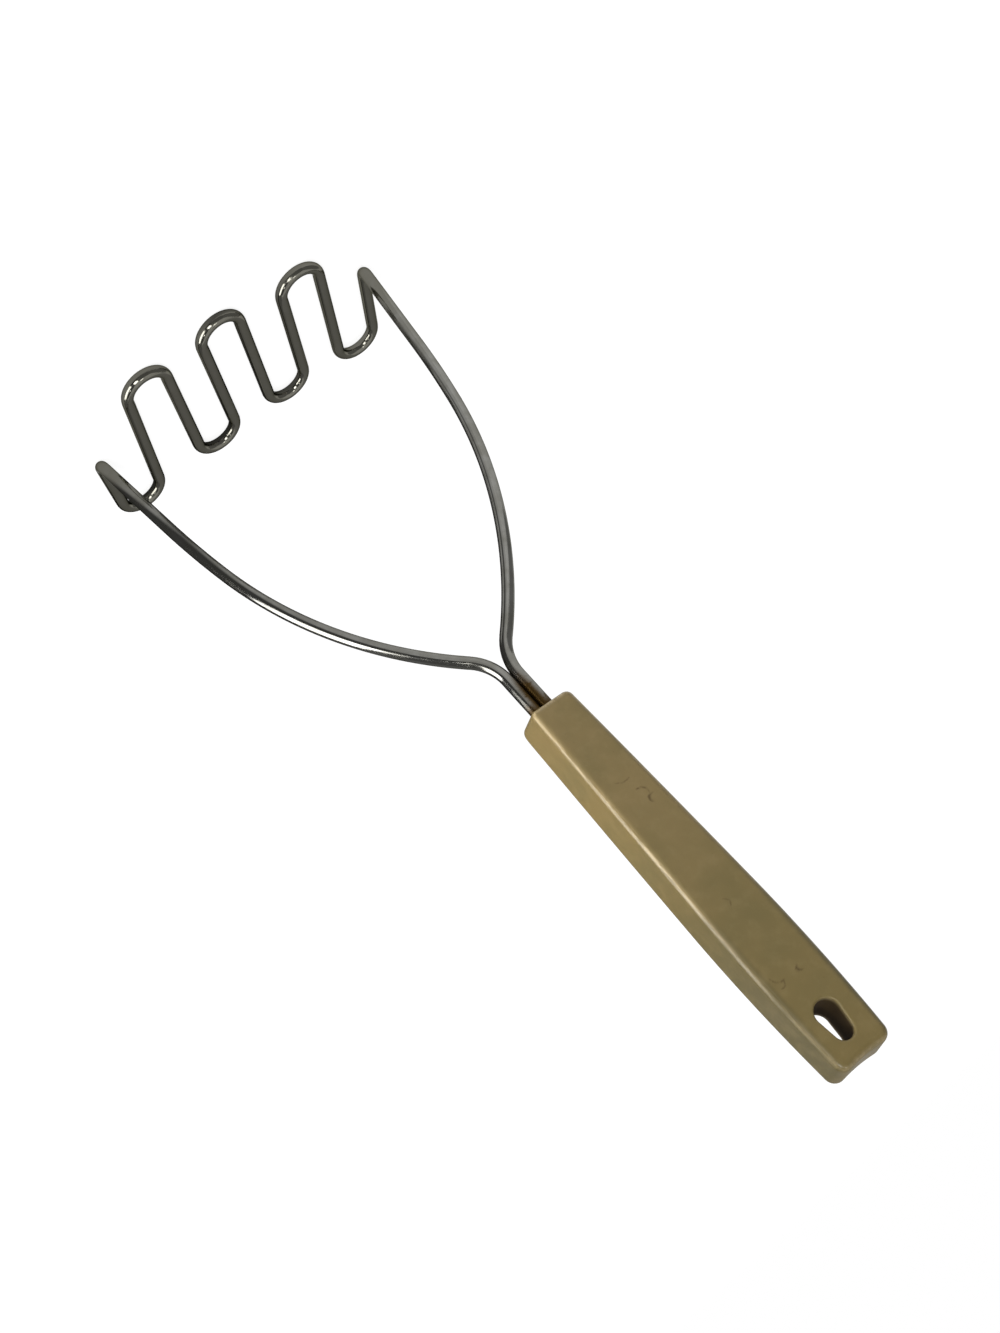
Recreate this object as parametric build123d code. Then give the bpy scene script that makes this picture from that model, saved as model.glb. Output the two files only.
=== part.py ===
from build123d import *

import math
import os

os.makedirs("parts", exist_ok=True)

# Potato masher: one bent wire and a moulded handle, standing upright on the mashing head.
# Lengths are in millimetres. X runs across the head, +Y is the front, +Z runs up the handle.

# Wire
WIRE_D = 3.65

# Mashing head, measured on the wire's centre line
HEAD_WIDTH = 96.0
HEAD_DEPTH = 52.2
HEAD_SET_BACK = 4.7
HEAD_SWAY = 0.8
TURN_RADIUS = 6.6
FOLD_RADIUS = 3.0

# How far each hand-bent turn strays: to the right, in shares of the pitch, and to the front, of half the depth
TURN_DRIFT_SHARES = (-0.03, 0.14, 0.06, 0.04, -0.03, 0.03, -0.13)
TURN_FORWARD_SHARES = (0.0, 0.02, 0.035, 0.045, 0.02, -0.12, -0.12)

# Arms, measured from the level of the head's centre line
NECK_HEIGHT = 123.6
NECK_RADIUS = 15.4
MOUTH_HEIGHT = 143.5
SHANK_DEPTH = 60.0
SHANK_GAP = 0.1

# Degrees by which the handle and the pair of shanks in it are turned about Z against the arms
HANDLE_TWIST = -13.8

# Corners that the two long bends of an arm round off: shares of half the head's width and of the neck's height
LOWER_BEND_SHARES = (0.904, 0.33)
UPPER_BEND_SHARES = (0.705, 0.733)

# Share of the free run that each of the two bends uses up
LOWER_BEND_REACH_SHARE = 0.9
UPPER_BEND_REACH_SHARE = 0.99

# Handle, measured from its mouth
HANDLE_LENGTH = 119.8
STRAIGHT_LENGTH = 68.4
MOUTH_WIDTH = 13.0
SWELL_WIDTH = 18.1
END_WIDTH = 17.1
MOUTH_THICKNESS = 14.8
MIDDLE_THICKNESS = 14.4
END_THICKNESS = 11.4
MOUTH_SLANT = 2.0
LONG_EDGE_RADIUS = 1.9
MOUTH_FRONT_RADIUS = 2.0
MOUTH_BACK_RADIUS = 3.2
END_CORNER_RADIUS = 3.0
END_HOLLOW = 0.8

# Socket for the two shanks
SOCKET_CLEARANCE = 0.1

# Teardrop hang hole: round end towards the mouth, narrow end towards the handle's end and wider at the back
HANG_HOLE_RADIUS = 3.5
HANG_HOLE_TIP_RADIUS = 2.6
HANG_HOLE_BACK_TIP_RADIUS = 3.2
HANG_HOLE_LENGTH = 11.5
HANG_HOLE_TO_END = 11.7
HANG_HOLE_SHIFT = -0.7
HANG_HOLE_RIM_RADIUS = 0.6

# Extra reach of cutting tools past the faces that they cut
OVERRUN = 3.0

TURN_COUNT = len(TURN_DRIFT_SHARES)
SHANK_SPACING = WIRE_D + SHANK_GAP


def turn_stops():
    """Ends and turns of the zigzag from left to right: a centre and a radius, negative where it bends right."""
    pitch = HEAD_WIDTH / TURN_COUNT
    reach = HEAD_DEPTH / 2 - TURN_RADIUS
    stops = [(Vector(-HEAD_WIDTH / 2, 0), 0)]
    for turn, (drift, forward) in enumerate(zip(TURN_DRIFT_SHARES, TURN_FORWARD_SHARES)):
        side = 1 if turn % 2 else -1
        x = pitch * (turn + drift + 1 / 2) - HEAD_WIDTH / 2
        y = side * reach + forward * HEAD_DEPTH / 2 - HEAD_SET_BACK
        stops.append((Vector(x, y), -side * TURN_RADIUS))
    stops.append((Vector(HEAD_WIDTH / 2, 0), 0))
    return [(centre + Vector(HEAD_SWAY, 0), radius) for centre, radius in stops]


def tangent_run(stop, next_stop):
    """Ends of the straight run that leaves one turn and meets the next without a kink."""
    (centre, radius), (next_centre, next_radius) = stop, next_stop
    across = next_centre - centre
    heading = math.atan2(across.Y, across.X) - math.asin((next_radius - radius) / across.length)
    left = Vector(-math.sin(heading), math.cos(heading))
    return centre - left * radius, next_centre - left * next_radius


def head_pieces(runs, stops):
    """Runs and turns of the zigzag between the middles of its first and last runs."""
    first, last = runs[0], runs[-1]
    pieces = [Line((first[0] + first[1]) / 2, first[1])]
    for before, after, (centre, radius) in zip(runs, runs[1:], stops[1:]):
        heading = before[1] - before[0]
        turned = heading.get_signed_angle(after[1] - after[0], Vector(0, 0, 1)) % 360
        swing = turned if radius > 0 else turned - 360
        pieces.append(JernArc(start=before[1], tangent=heading, radius=TURN_RADIUS, arc_size=swing))
        pieces.append(Line(after[0], (after[0] + after[1]) / 2 if after is last else after[1]))
    return pieces


def bend_angle(before, corner, after):
    """Angle in radians by which a path turns at a corner."""
    return math.radians((corner - before).get_angle(after - corner))


def arm_path(side, run_middle):
    """One arm: from the middle of the nearest head run, round the fold, up the bow and neck, to the shank's end."""
    def bow_point(width_share, height_share):
        lean = HEAD_SWAY * (1 - height_share)
        return Vector(side * width_share * HEAD_WIDTH / 2 + lean, 0, height_share * NECK_HEIGHT)

    fold = bow_point(1, 0)
    lower = bow_point(*LOWER_BEND_SHARES)
    upper = bow_point(*UPPER_BEND_SHARES)
    shank = Vector(side * SHANK_SPACING / 2, 0).rotate(Axis.Z, HANDLE_TWIST)
    neck = shank + Vector(0, 0, NECK_HEIGHT)
    top = shank + Vector(0, 0, MOUTH_HEIGHT + SHANK_DEPTH)

    neck_reach = NECK_RADIUS * math.tan(bend_angle(upper, neck, top) / 2)
    upper_reach = UPPER_BEND_REACH_SHARE * ((neck - upper).length - neck_reach)
    lower_reach = LOWER_BEND_REACH_SHARE * ((upper - lower).length - upper_reach)
    upper_radius = upper_reach / math.tan(bend_angle(lower, upper, neck) / 2)
    lower_radius = lower_reach / math.tan(bend_angle(fold, lower, upper) / 2)
    radii = [FOLD_RADIUS, lower_radius, upper_radius, NECK_RADIUS]
    print("bend radii", [round(radius, 1) for radius in radii])
    return FilletPolyline(run_middle, fold, lower, upper, neck, top, radius=radii)


def make_wire():
    """The whole wire as one bar swept along one unbroken path."""
    stops = turn_stops()
    runs = [tangent_run(*pair) for pair in zip(stops, stops[1:])]
    left_arm = arm_path(-1, (runs[0][0] + runs[0][1]) / 2)
    right_arm = arm_path(1, (runs[-1][0] + runs[-1][1]) / 2)
    edges = [*left_arm.edges(), *right_arm.edges()]
    for piece in head_pieces(runs, stops):
        edges.extend(piece.edges())
    path = Wire(edges)
    section = Plane(origin=path @ 0, z_dir=path % 0) * Circle(WIRE_D / 2)
    bar = sweep(section, path=path)
    print("wire length", round(path.length, 2), "volume share", round(bar.volume / (section.area * path.length), 5))
    return bar


def broad_outline():
    """Broad face of the handle: straight taper from the mouth, then a swell that closes in to the end."""
    mouth, swell, end = MOUTH_WIDTH / 2, SWELL_WIDTH / 2, END_WIDTH / 2
    right = Line((mouth, -OVERRUN), (swell, STRAIGHT_LENGTH))
    right_swell = TangentArc((swell, STRAIGHT_LENGTH), (end, HANDLE_LENGTH), tangent=right % 1)
    top = ThreePointArc((end, HANDLE_LENGTH), (0, HANDLE_LENGTH - END_HOLLOW), (-end, HANDLE_LENGTH))
    sides = [right, right_swell]
    mirrored = [mirror(line, Plane.YZ) for line in sides]
    foot = Line((-mouth, -OVERRUN), (mouth, -OVERRUN))
    face = make_face([*sides, top, *mirrored, foot])
    corners = face.vertices().group_by(Axis.Y)[-1]
    return fillet(corners, END_CORNER_RADIUS)


def side_outline():
    """Side of the handle: its thickness falls off towards the end in one long curve."""
    mouth, middle, end = MOUTH_THICKNESS / 2, MIDDLE_THICKNESS / 2, END_THICKNESS / 2
    front = ThreePointArc((mouth, -OVERRUN), (middle, HANDLE_LENGTH / 2), (end, HANDLE_LENGTH))
    top = Line((end, HANDLE_LENGTH), (-end, HANDLE_LENGTH))
    back = mirror(front, Plane.YZ)
    foot = Line((-mouth, -OVERRUN), (mouth, -OVERRUN))
    return make_face([front, top, back, foot])


def teardrop(tip_radius):
    """Outline of the hang hole: the hull of a large circle and a small one."""
    narrow_end = HANDLE_LENGTH - HANG_HOLE_TO_END + HANG_HOLE_LENGTH / 2
    wide = Pos(HANG_HOLE_SHIFT, narrow_end - HANG_HOLE_LENGTH + HANG_HOLE_RADIUS) * Circle(HANG_HOLE_RADIUS)
    narrow = Pos(HANG_HOLE_SHIFT, narrow_end - tip_radius) * Circle(tip_radius)
    return make_hull([*wide.edges(), *narrow.edges()])


def hang_hole():
    """Cutter for the teardrop hole, through the handle from front to back."""
    front = Plane.XZ.offset(-END_THICKNESS) * teardrop(HANG_HOLE_TIP_RADIUS)
    back = Plane.XZ.offset(END_THICKNESS) * teardrop(HANG_HOLE_BACK_TIP_RADIUS)
    return loft([front, back], ruled=True)


def rim_edges(body):
    """Edges round the handle's front and back and beside its mouth, without the seams that are smooth already."""
    rims = [edge for edge in body.edges()
            if abs(edge.center().Y) > END_THICKNESS / 4 or edge.center().Z < MOUTH_BACK_RADIUS]
    return [edge for edge in rims if abs(edge.center().X) > MOUTH_WIDTH / 4 or edge.center().Z > STRAIGHT_LENGTH]


def make_handle():
    """Moulded handle, turned on the wire, with its socket and hang hole."""
    body = extrude(Plane.XZ * broad_outline(), MOUTH_THICKNESS, both=True)
    body = body & extrude(Plane.YZ * side_outline(), SWELL_WIDTH, both=True)
    slant = math.degrees(math.atan2(MOUTH_SLANT, MOUTH_THICKNESS))
    mouth_plane = Plane(origin=(0, MOUTH_THICKNESS / 2, 0)).rotated((slant, 0, 0))
    body = split(body, mouth_plane, keep=Keep.TOP)
    for place, radius in ((-1, MOUTH_FRONT_RADIUS), (0, MOUTH_BACK_RADIUS)):
        mouth_face = body.faces().sort_by(Axis.Z)[0]
        body = fillet(mouth_face.edges().sort_by(Axis.Y)[place], radius)
    body = fillet(rim_edges(body), LONG_EDGE_RADIUS)

    holed = body - hang_hole()
    rims = [edge for edge in new_edges(body, combined=holed) if abs(edge.center().Y) > END_THICKNESS / 4]
    body = fillet(rims, HANG_HOLE_RIM_RADIUS)

    slot = SlotCenterToCenter(SHANK_SPACING, WIRE_D + 2 * SOCKET_CLEARANCE)
    socket = Pos(0, 0, -OVERRUN) * extrude(slot, OVERRUN + SHANK_DEPTH + SOCKET_CLEARANCE)
    return Pos(0, 0, MOUTH_HEIGHT) * Rot(0, 0, HANDLE_TWIST) * (body - socket)


def main():
    """Builds both pieces and writes them with the origin at the middle of the footprint."""
    pieces = {"masher_wire": make_wire(), "handle": make_handle()}
    box = Compound(list(pieces.values())).bounding_box()
    middle = box.center()
    to_origin = Pos(-middle.X, -middle.Y, -box.min.Z)
    print("origin moves by", [round(value, 4) for value in to_origin.position])
    for name, piece in pieces.items():
        placed = to_origin * piece
        placed.label = name
        export_step(placed, f"parts/{name}.step")


main()
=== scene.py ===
"""Potato masher: a plated wire bent into a zigzag head and two arms, and a moulded plastic handle."""

import logging
import math
from collections.abc import Callable
from dataclasses import dataclass, field
from enum import Enum

import bmesh
import bpy
from mathutils import Matrix, Vector


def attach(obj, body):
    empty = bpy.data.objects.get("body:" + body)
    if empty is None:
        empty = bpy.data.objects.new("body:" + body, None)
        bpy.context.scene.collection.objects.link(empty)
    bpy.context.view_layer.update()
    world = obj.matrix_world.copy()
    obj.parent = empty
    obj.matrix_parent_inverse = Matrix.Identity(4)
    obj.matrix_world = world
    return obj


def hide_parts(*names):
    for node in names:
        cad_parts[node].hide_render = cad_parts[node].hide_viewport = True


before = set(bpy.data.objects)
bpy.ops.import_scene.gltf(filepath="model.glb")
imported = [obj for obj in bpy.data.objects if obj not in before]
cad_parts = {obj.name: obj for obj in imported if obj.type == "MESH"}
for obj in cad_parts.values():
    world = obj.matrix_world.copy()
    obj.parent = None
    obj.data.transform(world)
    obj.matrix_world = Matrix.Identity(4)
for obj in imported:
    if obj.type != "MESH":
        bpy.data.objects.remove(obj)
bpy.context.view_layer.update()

log = logging.getLogger("masher")

Socket = bpy.types.NodeSocket
Row = list[Vector]
Colour = tuple[float, float, float, float]
Place = tuple[float, float, float]

MM = 0.001
BODY = "root"
WHITE: Colour = (1.0, 1.0, 1.0, 1.0)
NOISE_MIDDLE: Place = (0.5, 0.5, 0.5)

# Where the middle of the zigzag's wire and the arms' plane lie in the frame
HEAD_LEVEL = 1.825 * MM
ARMS_PLANE_X = -0.643 * MM
ARMS_PLANE_Y = 5.679 * MM

# Sizes that the wire and the handle share, heights measured from the head's centre line
WIRE_DIAMETER = 3.65 * MM
SHANK_GAP = 0.1 * MM
SHANK_DEPTH = 60.0 * MM
MOUTH_HEIGHT = 143.5 * MM
HANDLE_TWIST = math.radians(-13.8)

# How often a span is halved to find a wall, and how near to each other two points of a stage sheet join
HALVINGS = 40
STAGE_WELD = 0.01 * MM


class Slot(Enum):
    """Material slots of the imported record."""

    WIRE = "wire"
    HANDLE = "handle"


class Side(Enum):
    """Arms of the wire. Left is towards -X, which is how they look with the head held up."""

    LEFT = -1
    RIGHT = 1


class Face(Enum):
    """Broad faces of the handle."""

    FRONT = 1
    BACK = -1


def smooth_step(value: float) -> float:
    """Eases a value from 0 to 1, flat at both ends.

    Args:
        value: Any number; below 0 counts as 0 and above 1 as 1.

    Returns:
        The eased value.
    """
    value = min(max(value, 0.0), 1.0)
    return value * value * (3 - 2 * value)


def find_wall(distance: Callable[[float], float], farthest: float) -> float:
    """Finds how far away a wall is by halving the span that it lies in.

    Args:
        distance: Distance outside the wall at a reach, negative inside.
        farthest: A reach outside the wall.

    Returns:
        The reach of the wall.
    """
    low, high = 0.0, farthest
    for _ in range(HALVINGS):
        reach = (low + high) / 2
        low, high = (reach, high) if distance(reach) < 0 else (low, reach)
    return low


def link_object(name: str, data: bpy.types.ID) -> bpy.types.Object:
    """Makes an object and links it to the scene.

    Args:
        name: Name of the object.
        data: Its mesh, lamp or camera.

    Returns:
        The object.
    """
    made = bpy.data.objects.new(name, data)
    bpy.context.scene.collection.objects.link(made)
    return made


class Patchwork:
    """Collects grids of points into one mesh whose touching grids are joined."""

    def __init__(self) -> None:
        """Starts with no points."""
        self.points: list[Vector] = []
        self.faces: list[tuple[int, ...]] = []

    def add_grid(self, rows: list[Row], closed: bool = False) -> None:
        """Adds a sheet of four-sided faces.

        Args:
            rows: Rows of points, all of one length.
            closed: Whether each row's last point joins its first.
        """
        start, width = len(self.points), len(rows[0])
        for row in rows:
            self.points.extend(row)
        spans = width if closed else width - 1
        for r in range(len(rows) - 1):
            for c in range(spans):
                a, b = start + r * width + c, start + r * width + (c + 1) % width
                self.faces.append((a, b, b + width, a + width))

    def add_cap(self, ring: Row) -> None:
        """Closes a ring of points with a fan about its middle.

        Args:
            ring: Points of the ring in order.
        """
        middle = sum(ring, Vector()) / len(ring)
        start = len(self.points)
        self.points.extend([*ring, middle])
        for c in range(len(ring)):
            self.faces.append((start + c, start + (c + 1) % len(ring), start + len(ring)))

    def build(self, name: str, weld: float) -> bpy.types.Object:
        """Makes the mesh object, smooth and with its faces turned outward.

        Args:
            name: Name of the piece.
            weld: Points closer than this become one, in metres.

        Returns:
            The new object.
        """
        mesh = bpy.data.meshes.new(name)
        mesh.from_pydata(self.points, [], self.faces)
        work = bmesh.new()
        work.from_mesh(mesh)
        bmesh.ops.remove_doubles(work, verts=work.verts, dist=weld)
        bmesh.ops.recalc_face_normals(work, faces=work.faces)
        for face in work.faces:
            face.smooth = True
        work.to_mesh(mesh)
        work.free()
        mesh.validate()
        return link_object(name, mesh)


def store_vectors(mesh: bpy.types.Mesh, name: str, values: list[Vector]) -> None:
    """Keeps one vector for each point of a mesh under a name.

    Args:
        mesh: The mesh.
        name: Name that a finish reads the vectors by.
        values: One vector for each point.
    """
    layer = mesh.attributes.new(name, "FLOAT_VECTOR", "POINT")
    layer.data.foreach_set("vector", [number for value in values for number in value])


def store_floats(mesh: bpy.types.Mesh, name: str, values: list[float]) -> None:
    """Keeps one number for each point of a mesh under a name.

    Args:
        mesh: The mesh.
        name: Name that a finish reads the numbers by.
        values: One number for each point.
    """
    layer = mesh.attributes.new(name, "FLOAT", "POINT")
    layer.data.foreach_set("value", values)


class Graph:
    """A node tree under construction."""

    def __init__(self, tree: bpy.types.NodeTree) -> None:
        """Starts on a tree.

        Args:
            tree: The tree that new nodes go into.
        """
        self.tree = tree

    def feed(self, socket: Socket, value: object) -> None:
        """Links a socket or sets its plain value.

        Args:
            socket: The input to feed.
            value: An output to link, or a number, colour or vector.
        """
        if isinstance(value, Socket):
            self.tree.links.new(value, socket)
        else:
            socket.default_value = value

    def add(self, kind: str, inputs: dict | None = None, **settings: object) -> bpy.types.Node:
        """Adds a node.

        Args:
            kind: Type of the node.
            inputs: Values or outputs for its inputs, by name or number.
            settings: Properties of the node.

        Returns:
            The new node.
        """
        node = self.tree.nodes.new(kind)
        for key, value in settings.items():
            setattr(node, key, value)
        for key, value in (inputs or {}).items():
            self.feed(node.inputs[key], value)
        return node

    def math(self, operation: str, *values: object, clamp: bool = False) -> Socket:
        """Adds a Math node and returns its output."""
        inputs = dict(enumerate(values))
        return self.add("ShaderNodeMath", inputs, operation=operation, use_clamp=clamp).outputs[0]

    def vector(self, operation: str, *values: object) -> Socket:
        """Adds a Vector Math node and returns its vector output."""
        inputs = dict(enumerate(values))
        return self.add("ShaderNodeVectorMath", inputs, operation=operation).outputs["Vector"]

    def mix(self, factor: object, low: object, high: object) -> Socket:
        """Mixes two colours.

        Args:
            factor: How much of the high colour shows, from 0 to 1.
            low: Colour at a factor of 0.
            high: Colour at a factor of 1.

        Returns:
            The mixed colour.
        """
        node = self.add("ShaderNodeMix", data_type="RGBA")
        for name, value in (("Factor_Float", factor), ("A_Color", low), ("B_Color", high)):
            socket = next(item for item in node.inputs if item.identifier == name)
            self.feed(socket, value)
        return next(item for item in node.outputs if item.identifier == "Result_Color")

    def remap(self, value: object, low: object, high: object,
              to_low: object = 0.0, to_high: object = 1.0) -> Socket:
        """Eases a value from one range to another and returns it."""
        inputs = {"Value": value, "From Min": low, "From Max": high, "To Min": to_low, "To Max": to_high}
        return self.add("ShaderNodeMapRange", inputs, interpolation_type="SMOOTHSTEP").outputs["Result"]

    def attribute(self, name: str) -> bpy.types.Node:
        """Reads a value that the mesh keeps for each of its points."""
        return self.add("ShaderNodeAttribute", attribute_name=name)

    def glow(self, level: object) -> Socket:
        """Adds white emission of a strength and returns its shader."""
        return self.add("ShaderNodeEmission", {"Color": WHITE, "Strength": level}).outputs["Emission"]


class Effects:
    """Shader node groups that the finishes share, each built the first time that it is used."""

    trees: dict[str, bpy.types.NodeTree] = {}
    roughness: float = 0.6
    faintest: float = 0.4

    @classmethod
    def start(cls, name: str, inputs: dict[str, tuple[str, object]], output: str,
              kind: str) -> tuple[Graph, bpy.types.Node, bpy.types.Node]:
        """Starts a node group with named sockets.

        Args:
            name: Name of the group.
            inputs: Kind and plain value of each input, by name.
            output: Name of its output.
            kind: Kind of its output.

        Returns:
            The graph to build in, its input node and its output node.
        """
        tree = bpy.data.node_groups.new(name, "ShaderNodeTree")
        for label, (socket_kind, value) in inputs.items():
            socket = tree.interface.new_socket(label, in_out="INPUT", socket_type="NodeSocket" + socket_kind)
            if value is not None:
                socket.default_value = value
        tree.interface.new_socket(output, in_out="OUTPUT", socket_type="NodeSocket" + kind)
        graph = Graph(tree)
        cls.trees[name] = tree
        return graph, graph.add("NodeGroupInput"), graph.add("NodeGroupOutput")

    @classmethod
    def mottle(cls) -> bpy.types.NodeTree:
        """Builds soft cloudy patches, as a mask between a low and a high threshold.

        Returns:
            The node group.
        """
        inputs = {"Vector": ("Vector", None), "Scale": ("Float", 100.0), "Detail": ("Float", 3.0),
                  "Low": ("Float", 0.35), "High": ("Float", 0.65)}
        if "mottle" not in cls.trees:
            graph, given, result = cls.start("mottle", inputs, "Mask", "Float")
            noise = graph.add("ShaderNodeTexNoise", {
                "Vector": given.outputs["Vector"], "Scale": given.outputs["Scale"],
                "Detail": given.outputs["Detail"], "Roughness": cls.roughness})
            mask = graph.remap(noise.outputs["Fac"], given.outputs["Low"], given.outputs["High"])
            graph.feed(result.inputs["Mask"], mask)
        return cls.trees["mottle"]

    @classmethod
    def strokes(cls) -> bpy.types.NodeTree:
        """Builds short fine marks: round pits at a stretch of 1, long scratches above it.

        Returns:
            The node group, whose output is the mask of the marks.
        """
        inputs = {"Vector": ("Vector", None), "Tilt": ("Float", 0.0), "Scale": ("Float", 400.0),
                  "Stretch": ("Float", 8.0), "Width": ("Float", 0.2), "Share": ("Float", 0.3)}
        if "strokes" not in cls.trees:
            graph, given, result = cls.start("strokes", inputs, "Mask", "Float")
            turned = graph.add("ShaderNodeVectorRotate", {
                "Vector": given.outputs["Vector"], "Angle": given.outputs["Tilt"]}, rotation_type="Y_AXIS")
            along = graph.math("DIVIDE", given.outputs["Scale"], given.outputs["Stretch"])
            scale = graph.add("ShaderNodeCombineXYZ", {
                "X": given.outputs["Scale"], "Y": given.outputs["Scale"], "Z": along})
            place = graph.vector("MULTIPLY", turned.outputs["Vector"], scale.outputs["Vector"])
            cells = graph.add("ShaderNodeTexVoronoi", {"Vector": place, "Scale": 1.0, "Randomness": 1.0})
            near = graph.remap(cells.outputs["Distance"], 0.0, given.outputs["Width"], 1.0, 0.0)
            draw = graph.add("ShaderNodeSeparateColor", {"Color": cells.outputs["Color"]})
            chosen = graph.math("LESS_THAN", draw.outputs["Red"], given.outputs["Share"])
            strength = graph.math("MULTIPLY_ADD", draw.outputs["Green"], 1 - cls.faintest, cls.faintest)
            mask = graph.math("MULTIPLY", graph.math("MULTIPLY", near, chosen), strength)
            graph.feed(result.inputs["Mask"], mask)
        return cls.trees["strokes"]

    @classmethod
    def relief(cls) -> bpy.types.NodeTree:
        """Builds the surface normal of a fine relief whose height is given in millimetres.

        Returns:
            The node group.
        """
        inputs = {"Height": ("Float", 0.0)}
        if "relief" not in cls.trees:
            graph, given, result = cls.start("relief", inputs, "Normal", "Vector")
            bump = graph.add("ShaderNodeBump", {
                "Height": given.outputs["Height"], "Strength": 1.0, "Distance": MM})
            graph.feed(result.inputs["Normal"], bump.outputs["Normal"])
        return cls.trees["relief"]


def place_effect(graph: Graph, tree: bpy.types.NodeTree, **inputs: object) -> Socket:
    """Places a shared effect in a material.

    Args:
        graph: The material's graph.
        tree: The effect.
        inputs: Values or outputs for its inputs, by name.

    Returns:
        The effect's output.
    """
    node = graph.add("ShaderNodeGroup", node_tree=tree)
    for name, value in inputs.items():
        graph.feed(node.inputs[name], value)
    return node.outputs[0]


@dataclass(frozen=True)
class Mottle:
    """Soft cloudy patches: how many to a metre, how detailed, and where their mask starts and is full."""

    scale: float
    detail: float
    low: float
    high: float

    def place(self, graph: Graph, lay: Socket) -> Socket:
        """Places the patches in a material and returns their mask."""
        return place_effect(graph, Effects.mottle(), Vector=lay, Scale=self.scale, Detail=self.detail,
                            Low=self.low, High=self.high)


@dataclass(frozen=True)
class Strokes:
    """Short fine marks: how many cells to a metre, their length and width, and how many cells have one."""

    scale: float
    stretch: float
    width: float
    share: float
    tilt: float = 0.0

    def place(self, graph: Graph, lay: Socket) -> Socket:
        """Places the marks in a material and returns their mask."""
        return place_effect(graph, Effects.strokes(), Vector=lay, Tilt=self.tilt, Scale=self.scale,
                            Stretch=self.stretch, Width=self.width, Share=self.share)


def new_material(name: str) -> tuple[bpy.types.Material, Graph, bpy.types.Node]:
    """Makes an empty material.

    Args:
        name: Name of the material.

    Returns:
        The material, its graph and its output node.
    """
    material = bpy.data.materials.new(name)
    material.use_nodes = True
    material.node_tree.nodes.clear()
    graph = Graph(material.node_tree)
    return material, graph, graph.add("ShaderNodeOutputMaterial")


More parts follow.
